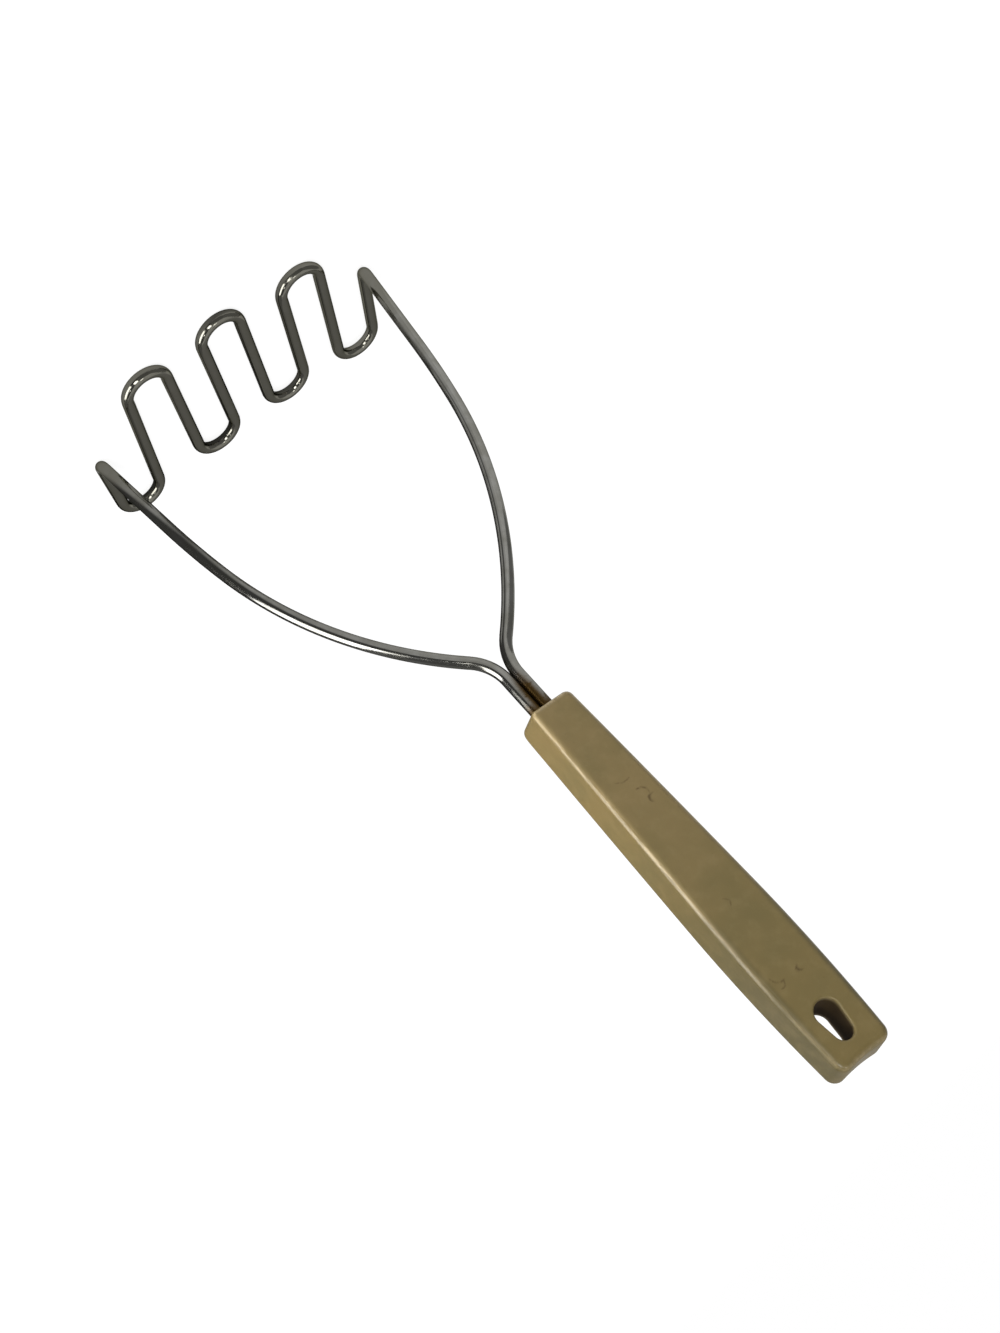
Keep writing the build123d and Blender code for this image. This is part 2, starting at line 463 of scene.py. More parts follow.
@dataclass(frozen=True)
class PlatedSteel:
    """Worn bright plating over drawn steel wire, dulled by use and stained where it enters the handle, with
    painted shade in the nip between the shanks.
    """

    bright: Colour = (0.250, 0.248, 0.232, 1.0)
    dull: Colour = (0.170, 0.166, 0.146, 1.0)
    tarnish: Colour = (0.165, 0.160, 0.134, 1.0)
    # Brown stain at the mouth, also used as painted shade in the nip between the shanks
    stain_and_shade: Colour = (0.055, 0.031, 0.007, 1.0)
    pit_floor: Colour = (0.05, 0.045, 0.035, 1.0)
    edge_tint: Colour = (0.35, 0.35, 0.33, 1.0)
    draw_lines: Mottle = Mottle(5200.0, 2.0, 0.4, 0.62)
    line_length_ratio: float = 60.0
    clouds: Mottle = Mottle(160.0, 5.0, 0.36, 0.66)
    blotches: Mottle = Mottle(900.0, 4.0, 0.5, 0.72)
    pits: Strokes = Strokes(2600.0, 1.3, 0.33, 0.14)
    scratches: Strokes = Strokes(2100.0, 14.0, 0.16, 0.5, tilt=0.35)
    bend_wear: float = 0.25
    cloud_wear: float = 0.6
    cloud_tarnish: float = 0.25
    line_shade: float = 0.22
    pit_shade: float = 0.25
    thin_stain_and_shade: float = 0.7
    stain_and_shade_start: float = 0.08
    stain_and_shade_full: float = 0.64
    polish: float = 0.10
    haze: float = 0.18
    scratch_haze: float = 0.12
    stain_and_shade_haze: float = 0.22
    stain_and_shade_cover: float = 0.25
    line_height: float = 0.0005 * MM
    pit_depth: float = 0.0015 * MM
    scratch_depth: float = 0.001 * MM
    cloud_height: float = 0.002 * MM

    def build(self) -> bpy.types.Material:
        """Makes the material.

        Returns:
            A material that reads the wire's own straightened coordinates.
        """
        material, graph, output = new_material("plated_steel")
        lay = graph.attribute("lay").outputs["Vector"]
        stain_and_shade_mask = graph.attribute("stain_and_shade").outputs["Fac"]
        bent = graph.attribute("bent").outputs["Fac"]
        tarnished = graph.attribute("tarnished").outputs["Fac"]

        stretched = graph.vector("MULTIPLY", lay, (1.0, 1.0, 1.0 / self.line_length_ratio))
        drawn = self.draw_lines.place(graph, stretched)
        clouds = self.clouds.place(graph, lay)
        blotches = self.blotches.place(graph, lay)
        pits = self.pits.place(graph, lay)
        scratches = self.scratches.place(graph, lay)

        overlay_share = graph.math("MULTIPLY", clouds, self.cloud_wear)
        overlay_share = graph.math("MULTIPLY_ADD", bent, self.bend_wear, overlay_share, clamp=True)
        metal = graph.mix(overlay_share, self.bright, self.dull)
        tarnished = graph.math("MULTIPLY_ADD", clouds, self.cloud_tarnish, tarnished, clamp=True)
        metal = graph.mix(tarnished, metal, self.tarnish)
        metal = graph.mix(graph.math("MULTIPLY", drawn, self.line_shade), metal, self.dull)
        metal = graph.mix(graph.math("MULTIPLY", pits, self.pit_shade), metal, self.pit_floor)
        # Brown stain at the handle's mouth, and painted shade down the nip between the shanks
        grime_and_shade = graph.math("MULTIPLY", stain_and_shade_mask, graph.remap(blotches, 0.0, 1.0, self.thin_stain_and_shade, 1.0))
        grime_and_shade = graph.remap(grime_and_shade, self.stain_and_shade_start, self.stain_and_shade_full)
        colour = graph.mix(grime_and_shade, metal, self.stain_and_shade)

        haze = graph.remap(clouds, 0.0, 1.0, self.polish, self.haze)
        haze = graph.math("MULTIPLY_ADD", scratches, self.scratch_haze, haze)
        haze = graph.math("MULTIPLY_ADD", grime_and_shade, self.stain_and_shade_haze, haze, clamp=True)
        height = graph.math("MULTIPLY", drawn, self.line_height / MM)
        height = graph.math("MULTIPLY_ADD", pits, -self.pit_depth / MM, height)
        height = graph.math("MULTIPLY_ADD", scratches, -self.scratch_depth / MM, height)
        height = graph.math("MULTIPLY_ADD", clouds, self.cloud_height / MM, height)
        normal = place_effect(graph, Effects.relief(), Height=height)

        metallic = graph.math("MULTIPLY_ADD", grime_and_shade, -self.stain_and_shade_cover, 1.0, clamp=True)
        shader = graph.add("ShaderNodeBsdfPrincipled", {
            "Base Color": colour, "Metallic": metallic, "Roughness": haze, "Normal": normal,
            "Specular Tint": self.edge_tint})
        graph.feed(output.inputs["Surface"], shader.outputs["BSDF"])
        return material


@dataclass(frozen=True)
class Scuff:
    """A dark rub mark on the front of the handle. Lengths are in metres, its tilt in radians."""

    across: float
    along: float
    length: float
    tilt: float
    bow: float = 0.0
    width: float = 0.3 * MM
    depth: float = 0.5


@dataclass(frozen=True)
class MouldedPlastic:
    """Olive-tan moulded plastic with a worn gloss, scuffs and grime round the mouth and the hang hole, and
    painted light: a lighter tone near the mouth, painted shade on the sides towards the end and in the hang
    hole, and a painted highlight along the long edges.
    """

    tan: Colour = (0.180, 0.134, 0.048, 1.0)
    # Lighter tone at the mouth end, painted light that fades towards the end
    lit_mouth_tone: Colour = (0.212, 0.152, 0.058, 1.0)
    olive: Colour = (0.138, 0.112, 0.040, 1.0)
    # Painted shade on the sides towards the handle's end
    side_shade: Colour = (0.098, 0.080, 0.034, 1.0)
    rubbed: Colour = (0.31, 0.235, 0.110, 1.0)
    # Painted highlight along the rounded long edges, with some edge wear
    ridge_highlight_and_wear: Colour = (0.46, 0.36, 0.20, 1.0)
    # Dirt, also used as painted shade inside the hang hole
    dirt_and_shade: Colour = (0.030, 0.013, 0.001, 1.0)
    broad: Mottle = Mottle(45.0, 3.0, 0.34, 0.68)
    clouds: Mottle = Mottle(260.0, 4.0, 0.42, 0.75)
    streaks: Mottle = Mottle(900.0, 3.0, 0.38, 0.6)
    streak_squash: float = 0.12
    grain: Mottle = Mottle(3200.0, 2.0, 0.3, 0.7)
    specks: Strokes = Strokes(900.0, 1.0, 0.16, 0.12)
    scratches: Strokes = Strokes(1500.0, 22.0, 0.11, 0.45, tilt=0.5)
    crossing: Strokes = Strokes(1300.0, 16.0, 0.1, 0.35, tilt=-0.9)
    tan_along: float = 105.0 * MM
    side_across: tuple[float, float] = (6.6 * MM, 8.6 * MM)
    side_shade_along: tuple[float, float] = (25.0 * MM, 112.0 * MM)
    ridge_fade_along: tuple[float, float] = (45.0 * MM, 92.0 * MM)
    ridge_at_end: float = 0.25
    ridge_off_streak: float = 0.3
    olive_share: float = 0.55
    side_shade_share: float = 0.95
    cloud_share: float = 0.16
    scratch_share: float = 0.16
    speck_share: float = 0.5
    dirt_and_shade_share: float = 0.9
    gloss: float = 0.30
    matt: float = 0.46
    ridge_polish: float = 0.14
    scratch_haze: float = 0.2
    grime_and_shade_haze: float = 0.55
    grain_height: float = 0.0016 * MM
    cloud_height: float = 0.006 * MM
    scratch_depth: float = 0.004 * MM
    speck_depth: float = 0.005 * MM
    refraction: float = 1.39
    scuff_noise: float = 900.0
    scuff_detail: float = 2.0
    scuff_shake: float = 0.7 * MM
    scuff_gaps: tuple[float, float] = (0.34, 0.6)
    scuff_in_gap: float = 0.25
    scuff_front: float = 4.0 * MM
    scuffs: tuple[Scuff, ...] = (
        Scuff(-0.4 * MM, 29.8 * MM, 4.0 * MM, 0.2, bow=0.5 * MM, width=0.35 * MM, depth=0.4),
        Scuff(3.0 * MM, 34.2 * MM, 3.2 * MM, 1.0, bow=-0.9 * MM, width=0.55 * MM, depth=0.58),
        Scuff(2.3 * MM, 37.0 * MM, 2.0 * MM, 2.2, bow=0.4 * MM, width=0.75 * MM, depth=0.62),
        Scuff(-0.6 * MM, 70.2 * MM, 2.2 * MM, 1.5, bow=-0.6 * MM, width=0.5 * MM, depth=0.42),
        Scuff(0.7 * MM, 93.6 * MM, 1.0 * MM, 1.3, bow=0.2 * MM, width=0.9 * MM, depth=0.62),
        Scuff(-5.6 * MM, 93.0 * MM, 3.4 * MM, 0.6, bow=0.7 * MM, width=0.45 * MM, depth=0.45),
        Scuff(-4.6 * MM, 94.6 * MM, 2.4 * MM, 2.5, bow=-0.5 * MM, width=0.4 * MM, depth=0.4),
    )

    def scuff_tree(self) -> bpy.types.NodeTree:
        """Builds the node group that draws one scuff.

        Returns:
            A group with the scuff's sizes as inputs and its mask as output.
        """
        inputs = {"Vector": ("Vector", None), "Across": ("Float", 0.0), "Along": ("Float", 0.0),
                  "Length": ("Float", 3.0 * MM), "Tilt": ("Float", 0.0), "Bow": ("Float", 0.0),
                  "Width": ("Float", 0.3 * MM), "Depth": ("Float", 0.5)}
        graph, given, result = Effects.start("scuff", inputs, "Mask", "Float")
        spot, length = given.outputs["Vector"], given.outputs["Length"]
        centre = graph.add("ShaderNodeCombineXYZ", {
            "X": given.outputs["Across"], "Z": given.outputs["Along"]}).outputs["Vector"]
        wobble = graph.add("ShaderNodeTexNoise", {
            "Vector": spot, "Scale": self.scuff_noise, "Detail": self.scuff_detail})
        shake = graph.vector("SUBTRACT", wobble.outputs["Color"], NOISE_MIDDLE)
        shake = graph.vector("MULTIPLY", shake, (self.scuff_shake, 0.0, self.scuff_shake))
        place = graph.vector("ADD", graph.vector("SUBTRACT", spot, centre), shake)
        turned = graph.add("ShaderNodeVectorRotate", {
            "Vector": place, "Angle": given.outputs["Tilt"]}, rotation_type="Y_AXIS")
        parts = graph.add("ShaderNodeSeparateXYZ", {"Vector": turned.outputs["Vector"]})
        # A mark curves away by its whole bow at half its length, where four times the squared share is 1
        share = graph.math("DIVIDE", parts.outputs["X"], length)
        rise = graph.math("MULTIPLY", graph.math("MULTIPLY", share, share), given.outputs["Bow"])
        rise = graph.math("MULTIPLY_ADD", rise, 4.0, parts.outputs["Z"])
        past = graph.math("ABSOLUTE", parts.outputs["X"])
        past = graph.math("SUBTRACT", past, graph.math("MULTIPLY", length, 0.5))
        past = graph.math("MAXIMUM", past, 0.0)
        distance = graph.math("MULTIPLY_ADD", rise, rise, graph.math("MULTIPLY", past, past))
        near = graph.remap(graph.math("SQRT", distance), 0.0, given.outputs["Width"], 1.0, 0.0)
        unbroken = graph.remap(wobble.outputs["Fac"], *self.scuff_gaps, self.scuff_in_gap, 1.0)
        near = graph.math("MULTIPLY", near, unbroken)
        height = graph.add("ShaderNodeSeparateXYZ", {"Vector": spot}).outputs["Y"]
        front = graph.math("GREATER_THAN", height, self.scuff_front)
        mask = graph.math("MULTIPLY", graph.math("MULTIPLY", near, front), given.outputs["Depth"])
        graph.feed(result.inputs["Mask"], mask)
        return graph.tree

    def build(self) -> bpy.types.Material:
        """Makes the material.

        Returns:
            A material that reads the handle's own coordinates.
        """
        material, graph, output = new_material("moulded_plastic")
        lay = graph.attribute("lay").outputs["Vector"]
        ridge = graph.attribute("ridge").outputs["Fac"]
        dirt_and_hole_shade = graph.attribute("dirt_and_hole_shade").outputs["Fac"]
        parts = graph.add("ShaderNodeSeparateXYZ", {"Vector": lay})
        aside, along = graph.math("ABSOLUTE", parts.outputs["X"]), parts.outputs["Z"]

        broad = self.broad.place(graph, lay)
        clouds = self.clouds.place(graph, lay)
        streaks = self.streaks.place(graph, graph.vector("MULTIPLY", lay, (1.0, 1.0, self.streak_squash)))
        grain = self.grain.place(graph, lay)
        specks = self.specks.place(graph, lay)
        scratches = graph.math("MAXIMUM", self.scratches.place(graph, lay), self.crossing.place(graph, lay))

        # Painted light: lighter and warmer near the mouth, fading to tan towards the end as the light falls
        # off
        colour = graph.mix(graph.remap(along, 0.0, self.tan_along), self.lit_mouth_tone, self.tan)
        colour = graph.mix(graph.math("MULTIPLY", broad, self.olive_share), colour, self.olive)
        # Painted shade: the sides darken towards the handle's end
        side_shade = graph.remap(along, *self.side_shade_along)
        side_shade = graph.math("MULTIPLY", graph.remap(aside, *self.side_across), side_shade)
        colour = graph.mix(graph.math("MULTIPLY", side_shade, self.side_shade_share), colour, self.side_shade)
        colour = graph.mix(graph.math("MULTIPLY", clouds, self.cloud_share), colour, self.rubbed)
        # Painted highlight along the rounded long edges, with some edge wear, fading towards the end
        overlay_share = graph.remap(along, *self.ridge_fade_along, 1.0, self.ridge_at_end)
        overlay_share = graph.math("MULTIPLY", ridge, overlay_share)
        overlay_share = graph.math("MULTIPLY", overlay_share, graph.remap(streaks, 0.0, 1.0, self.ridge_off_streak, 1.0))
        colour = graph.mix(overlay_share, colour, self.ridge_highlight_and_wear)
        colour = graph.mix(graph.math("MULTIPLY", scratches, self.scratch_share), colour, self.rubbed)
        colour = graph.mix(graph.math("MULTIPLY", specks, self.speck_share), colour, self.dirt_and_shade)

        tree = self.scuff_tree()
        # Dirt round the mouth and in the socket, painted shade with dirt in the hang hole, and the scuffs
        grime_and_shade = graph.math("MULTIPLY", dirt_and_hole_shade, self.dirt_and_shade_share)
        for scuff in self.scuffs:
            mark = place_effect(graph, tree, Vector=lay, Across=scuff.across, Along=scuff.along,
                                Length=scuff.length, Tilt=scuff.tilt, Bow=scuff.bow, Width=scuff.width,
                                Depth=scuff.depth)
            grime_and_shade = graph.math("MAXIMUM", grime_and_shade, mark)
        colour = graph.mix(grime_and_shade, colour, self.dirt_and_shade)

        sheen = graph.remap(broad, 0.0, 1.0, self.gloss, self.matt)
        sheen = graph.math("MULTIPLY_ADD", ridge, -self.ridge_polish, sheen)
        sheen = graph.math("MULTIPLY_ADD", scratches, self.scratch_haze, sheen)
        sheen = graph.math("MULTIPLY_ADD", grime_and_shade, self.grime_and_shade_haze, sheen, clamp=True)
        height = graph.math("MULTIPLY", grain, self.grain_height / MM)
        height = graph.math("MULTIPLY_ADD", clouds, self.cloud_height / MM, height)
        height = graph.math("MULTIPLY_ADD", scratches, -self.scratch_depth / MM, height)
        height = graph.math("MULTIPLY_ADD", specks, -self.speck_depth / MM, height)
        normal = place_effect(graph, Effects.relief(), Height=height)
        shader = graph.add("ShaderNodeBsdfPrincipled", {
            "Base Color": colour, "Roughness": sheen, "Normal": normal, "IOR": self.refraction})
        graph.feed(output.inputs["Surface"], shader.outputs["BSDF"])
        return material


@dataclass(frozen=True)
class Stop:
    """An end or a turn of the zigzag: where it is and its radius, negative where the wire bends right."""

    centre: Vector
    radius: float


@dataclass
class BentWire:
    """The whole wire: shank, neck, bow and fold of each arm, and the zigzag between them."""

    material: bpy.types.Material
    diameter: float = WIRE_DIAMETER
    head_width: float = 96.0 * MM
    head_depth: float = 52.2 * MM
    head_set_back: float = 4.7 * MM
    head_sway: float = 0.8 * MM
    turn_radius: float = 6.6 * MM
    fold_radius: float = 3.0 * MM
    drift_shares: tuple[float, ...] = (-0.03, 0.14, 0.06, 0.04, -0.03, 0.03, -0.13)
    forward_shares: tuple[float, ...] = (0.0, 0.02, 0.035, 0.045, 0.02, -0.12, -0.12)
    neck_height: float = 123.6 * MM
    neck_radius: float = 15.4 * MM
    mouth_height: float = MOUTH_HEIGHT
    shank_depth: float = SHANK_DEPTH
    shank_gap: float = SHANK_GAP
    twist: float = HANDLE_TWIST
    lower_bend: tuple[float, float] = (0.904, 0.33)
    upper_bend: tuple[float, float] = (0.705, 0.733)
    lower_reach_share: float = 0.9
    upper_reach_share: float = 0.99
    sides: int = 28
    longest_step: float = 1.6 * MM
    turn_step: float = math.radians(5.0)
    fewest_run_steps: int = 2
    fewest_bend_steps: int = 3
    flattening: float = 0.035
    mouth_stain: float = 0.95
    stain_reach: float = 8.5 * MM
    # Painted shade in the nip between the shanks, from the mouth down towards the neck
    nip_shade_reach: float = 17.0 * MM
    nip_shade_lead: float = 1.3
    nip_shade_width: float = 1.65
    nip_shade_fall: float = 1.5
    head_tarnish: float = 0.9
    tarnish_reach: float = 26.0 * MM
    tarnish_lead: float = 1.1
    path: Row = field(default_factory=list)

    def turn_stops(self) -> list[Stop]:
        """Places the ends and the turns of the zigzag from left to right.

        Returns:
            The left end, the turns and the right end.
        """
        count = len(self.drift_shares)
        pitch = self.head_width / count
        reach = self.head_depth / 2 - self.turn_radius
        stops = [Stop(Vector((self.head_sway - self.head_width / 2, 0, 0)), 0)]
        for turn, (drift, forward) in enumerate(zip(self.drift_shares, self.forward_shares)):
            side = 1 if turn % 2 else -1
            x = pitch * (turn + drift + 1 / 2) - self.head_width / 2 + self.head_sway
            y = side * reach + forward * self.head_depth / 2 - self.head_set_back
            stops.append(Stop(Vector((x, y, 0)), -side * self.turn_radius))
        stops.append(Stop(Vector((self.head_sway + self.head_width / 2, 0, 0)), 0))
        return stops

    def run_between(self, stop: Stop, after: Stop) -> tuple[Vector, Vector]:
        """Finds the straight run that leaves one turn and meets the next without a kink.

        Args:
            stop: The turn that the run leaves.
            after: The turn that it meets.

        Returns:
            Both ends of the run.
        """
        across = after.centre - stop.centre
        heading = math.atan2(across.y, across.x) - math.asin((after.radius - stop.radius) / across.length)
        left = Vector((-math.sin(heading), math.cos(heading), 0))
        return stop.centre - left * stop.radius, after.centre - left * after.radius

    def straight(self, start: Vector, end: Vector) -> Row:
        """Points of a straight run, without its last one."""
        steps = max(self.fewest_run_steps, math.ceil((end - start).length / self.longest_step))
        return [start.lerp(end, step / steps) for step in range(steps)]

    def bend(self, start: Vector, centre: Vector, axis: Vector, angle: float) -> Row:
        """Points of a bend, without its last one.

        Args:
            start: Where the bend starts.
            centre: Centre of its circle.
            axis: Axis that the bend turns about.
            angle: How far it turns, in radians.

        Returns:
            The points.
        """
        radius = (start - centre).length
        step = min(self.turn_step, self.longest_step / radius)
        steps = max(self.fewest_bend_steps, math.ceil(abs(angle) / step))
        return [centre + Matrix.Rotation(angle * i / steps, 3, axis) @ (start - centre) for i in range(steps)]

    def rounded(self, corners: Row, radii: list[float]) -> Row:
        """Points of a path with rounded corners.

        Args:
            corners: Ends and corners of the path.
            radii: Radius of each corner between the ends.

        Returns:
            The points, both ends included.
        """
        points, start = [], corners[0]
        for before, corner, after, radius in zip(corners, corners[1:], corners[2:], radii):
            arriving, leaving = (corner - before).normalized(), (after - corner).normalized()
            angle = arriving.angle(leaving)
            reach = radius * math.tan(angle / 2)
            axis = arriving.cross(leaving).normalized()
            touch = corner - arriving * reach
            centre = touch + axis.cross(arriving) * radius
            points += self.straight(start, touch)
            points += self.bend(touch, centre, axis, angle)
            start = corner + leaving * reach
        return [*points, *self.straight(start, corners[-1]), corners[-1]]

    def arm(self, side: Side, run_middle: Vector) -> Row:
        """Points of one arm, from the middle of the nearest head run to the end of its shank.

        Args:
            side: Which arm.
            run_middle: Middle of the head's first or last run.

        Returns:
            The points.
        """
        def bow_point(width_share: float, height_share: float) -> Vector:
            """Places a corner of the bow.

            Args:
                width_share: Share of half the head's width.
                height_share: Share of the neck's height.

            Returns:
                The corner.
            """
            lean = self.head_sway * (1 - height_share)
            x = side.value * width_share * self.head_width / 2 + lean
            return Vector((x, 0, height_share * self.neck_height))

        fold, lower, upper = bow_point(1, 0), bow_point(*self.lower_bend), bow_point(*self.upper_bend)
        spacing = self.diameter + self.shank_gap
        shank = Matrix.Rotation(self.twist, 3, "Z") @ Vector((side.value * spacing / 2, 0, 0))
        neck = shank + Vector((0, 0, self.neck_height))
        top = shank + Vector((0, 0, self.mouth_height + self.shank_depth))
        neck_turn = (neck - upper).angle(top - neck)
        upper_turn = (upper - lower).angle(neck - upper)
        lower_turn = (lower - fold).angle(upper - lower)
        neck_reach = self.neck_radius * math.tan(neck_turn / 2)
        upper_reach = self.upper_reach_share * ((neck - upper).length - neck_reach)
        lower_reach = self.lower_reach_share * ((upper - lower).length - upper_reach)
        radii = [self.fold_radius, lower_reach / math.tan(lower_turn / 2),
                 upper_reach / math.tan(upper_turn / 2), self.neck_radius]
        return self.rounded([run_middle, fold, lower, upper, neck, top], radii)

    def lay_out(self) -> Row:
        """Works out the wire's whole centre line in the frame.

        Returns:
            Points from the end of the left shank to the end of the right one.
        """
        stops = self.turn_stops()
        runs = [self.run_between(*pair) for pair in zip(stops, stops[1:])]
        first, last = runs[0], runs[-1]
        left_middle, right_middle = (first[0] + first[1]) / 2, (last[0] + last[1]) / 2
        points = self.arm(Side.LEFT, left_middle)[::-1][:-1]
        points += self.straight(left_middle, first[1])
        up = Vector((0, 0, 1))
        for before, after, stop in zip(runs, runs[1:], stops[1:]):
            arriving, leaving = before[1] - before[0], after[1] - after[0]
            turned = math.atan2(arriving.cross(leaving).z, arriving.dot(leaving)) % (2 * math.pi)
            swing = turned if stop.radius > 0 else turned - 2 * math.pi
            points += self.bend(before[1], stop.centre, up, swing)
            end = right_middle if after is last else after[1]
            points += self.straight(after[0], end)
        points += self.arm(Side.RIGHT, right_middle)
        shift = Vector((ARMS_PLANE_X, ARMS_PLANE_Y, HEAD_LEVEL))
        return [point + shift for point in points]

    def build(self) -> bpy.types.Object:
        """Sweeps the wire along its centre line.

        Returns:
            The finished piece.
        """
        self.path = self.lay_out()
        radius = self.diameter / 2
        tangents = self.tangents()
        side_way = tangents[0].orthogonal().normalized()
        rings, lays, strains, travelled = [], [], [], 0.0
        for i, (point, tangent) in enumerate(zip(self.path, tangents)):
            side_way = (side_way - tangent * side_way.dot(tangent)).normalized()
            other_way = tangent.cross(side_way)
            travelled += (point - self.path[i - 1]).length if i else 0.0
            curl = self.curvature(i)
            tightness = min(1.0, curl.length * self.turn_radius)
            inward = curl.normalized() if tightness > 0 else side_way
            ring = []
            for c in range(self.sides):
                turn = 2 * math.pi * c / self.sides
                way = side_way * math.cos(turn) + other_way * math.sin(turn)
                press = 1 - self.flattening * tightness * way.dot(inward) ** 2
                ring.append(point + way * radius * press)
                lays.append(Vector((radius * math.cos(turn), radius * math.sin(turn), travelled)))
                strains.append(tightness)
            rings.append(ring)
        lays += [Vector((0, 0, 0)), Vector((0, 0, travelled))]
        strains += [0.0, 0.0]
        return self.dress(rings, lays, strains)

    def tangents(self) -> Row:
        """Works out the direction of the wire at each point of its path."""
        ends = [self.path[0], *self.path, self.path[-1]]
        return [(after - before).normalized() for before, after in zip(ends, ends[2:])]

    def curvature(self, index: int) -> Vector:
        """Works out how sharply and which way the path bends at one of its points.

        Args:
            index: Number of the point.

        Returns:
            A vector towards the inside of the bend, as long as the turn per metre.
        """
        if index in (0, len(self.path) - 1):
            return Vector()
        before, here, after = self.path[index - 1:index + 2]
        arriving, leaving = here - before, after - here
        return (leaving.normalized() - arriving.normalized()) * 2 / (arriving.length + leaving.length)

    def dress(self, rings: list[Row], lays: Row, strains: list[float]) -> bpy.types.Object:
        """Turns the rings into the finished piece with its finish.

        Args:
            rings: The swept rings.
            lays: Coordinates of each point on the straightened wire, then those of the ends' middles.
            strains: How tightly the wire is bent at each of these points.

        Returns:
            The piece.
        """
        tube = Patchwork()
        tube.add_grid(rings, closed=True)
        count = len(tube.points)
        middles = [sum(ring, Vector()) / self.sides for ring in (rings[0], rings[-1])]
        caps = []
        for c in range(self.sides):
            after = (c + 1) % self.sides
            caps.append((c, count, after))
            caps.append((count - self.sides + c, count - self.sides + after, count + 1))
        mesh = bpy.data.meshes.new("wire")
        mesh.from_pydata([*tube.points, *middles], [], [*tube.faces, *caps])
        for polygon in mesh.polygons:
            polygon.use_smooth = True
        piece = link_object("wire", mesh)
        store_vectors(mesh, "lay", lays)
        store_floats(mesh, "bent", strains)
        # Brown stain at the mouth, and painted shade between the shanks
        store_floats(mesh, "stain_and_shade", [self.stain_and_shade_share(vertex.co) for vertex in mesh.vertices])
        store_floats(mesh, "tarnished", [self.tarnish_share(vertex.co) for vertex in mesh.vertices])
        mesh.materials.append(self.material)
        return piece

    def stain_and_shade_share(self, place: Vector) -> float:
        """Says how brown and dark the wire is: a stain most at the handle's mouth, and painted shade further
        down between the shanks.

        Args:
            place: A point of the wire in the frame.

        Returns:
            The share of stain, from 0 to 1.
        """
        below_mouth = HEAD_LEVEL + self.mouth_height - place.z
        from_middle = math.hypot(place.x - ARMS_PLANE_X, place.y - ARMS_PLANE_Y)
        between = smooth_step(self.nip_shade_width - from_middle / self.diameter * self.nip_shade_fall)
        between *= smooth_step(self.nip_shade_lead - below_mouth / self.nip_shade_reach)
        return max(self.mouth_stain * smooth_step(1 - below_mouth / self.stain_reach), between)

    def tarnish_share(self, place: Vector) -> float:
        """Says how dull a point of the wire is: the head all over, and less and less up the arms."""
        above_head = place.z - HEAD_LEVEL
        return self.head_tarnish * smooth_step(self.tarnish_lead - above_head / self.tarnish_reach)


@dataclass(frozen=True)
class Rim:
    """A point of the handle's outline on its broad face, and the way out of the handle there."""

    across: float
    along: float
    out_across: float
    out_along: float


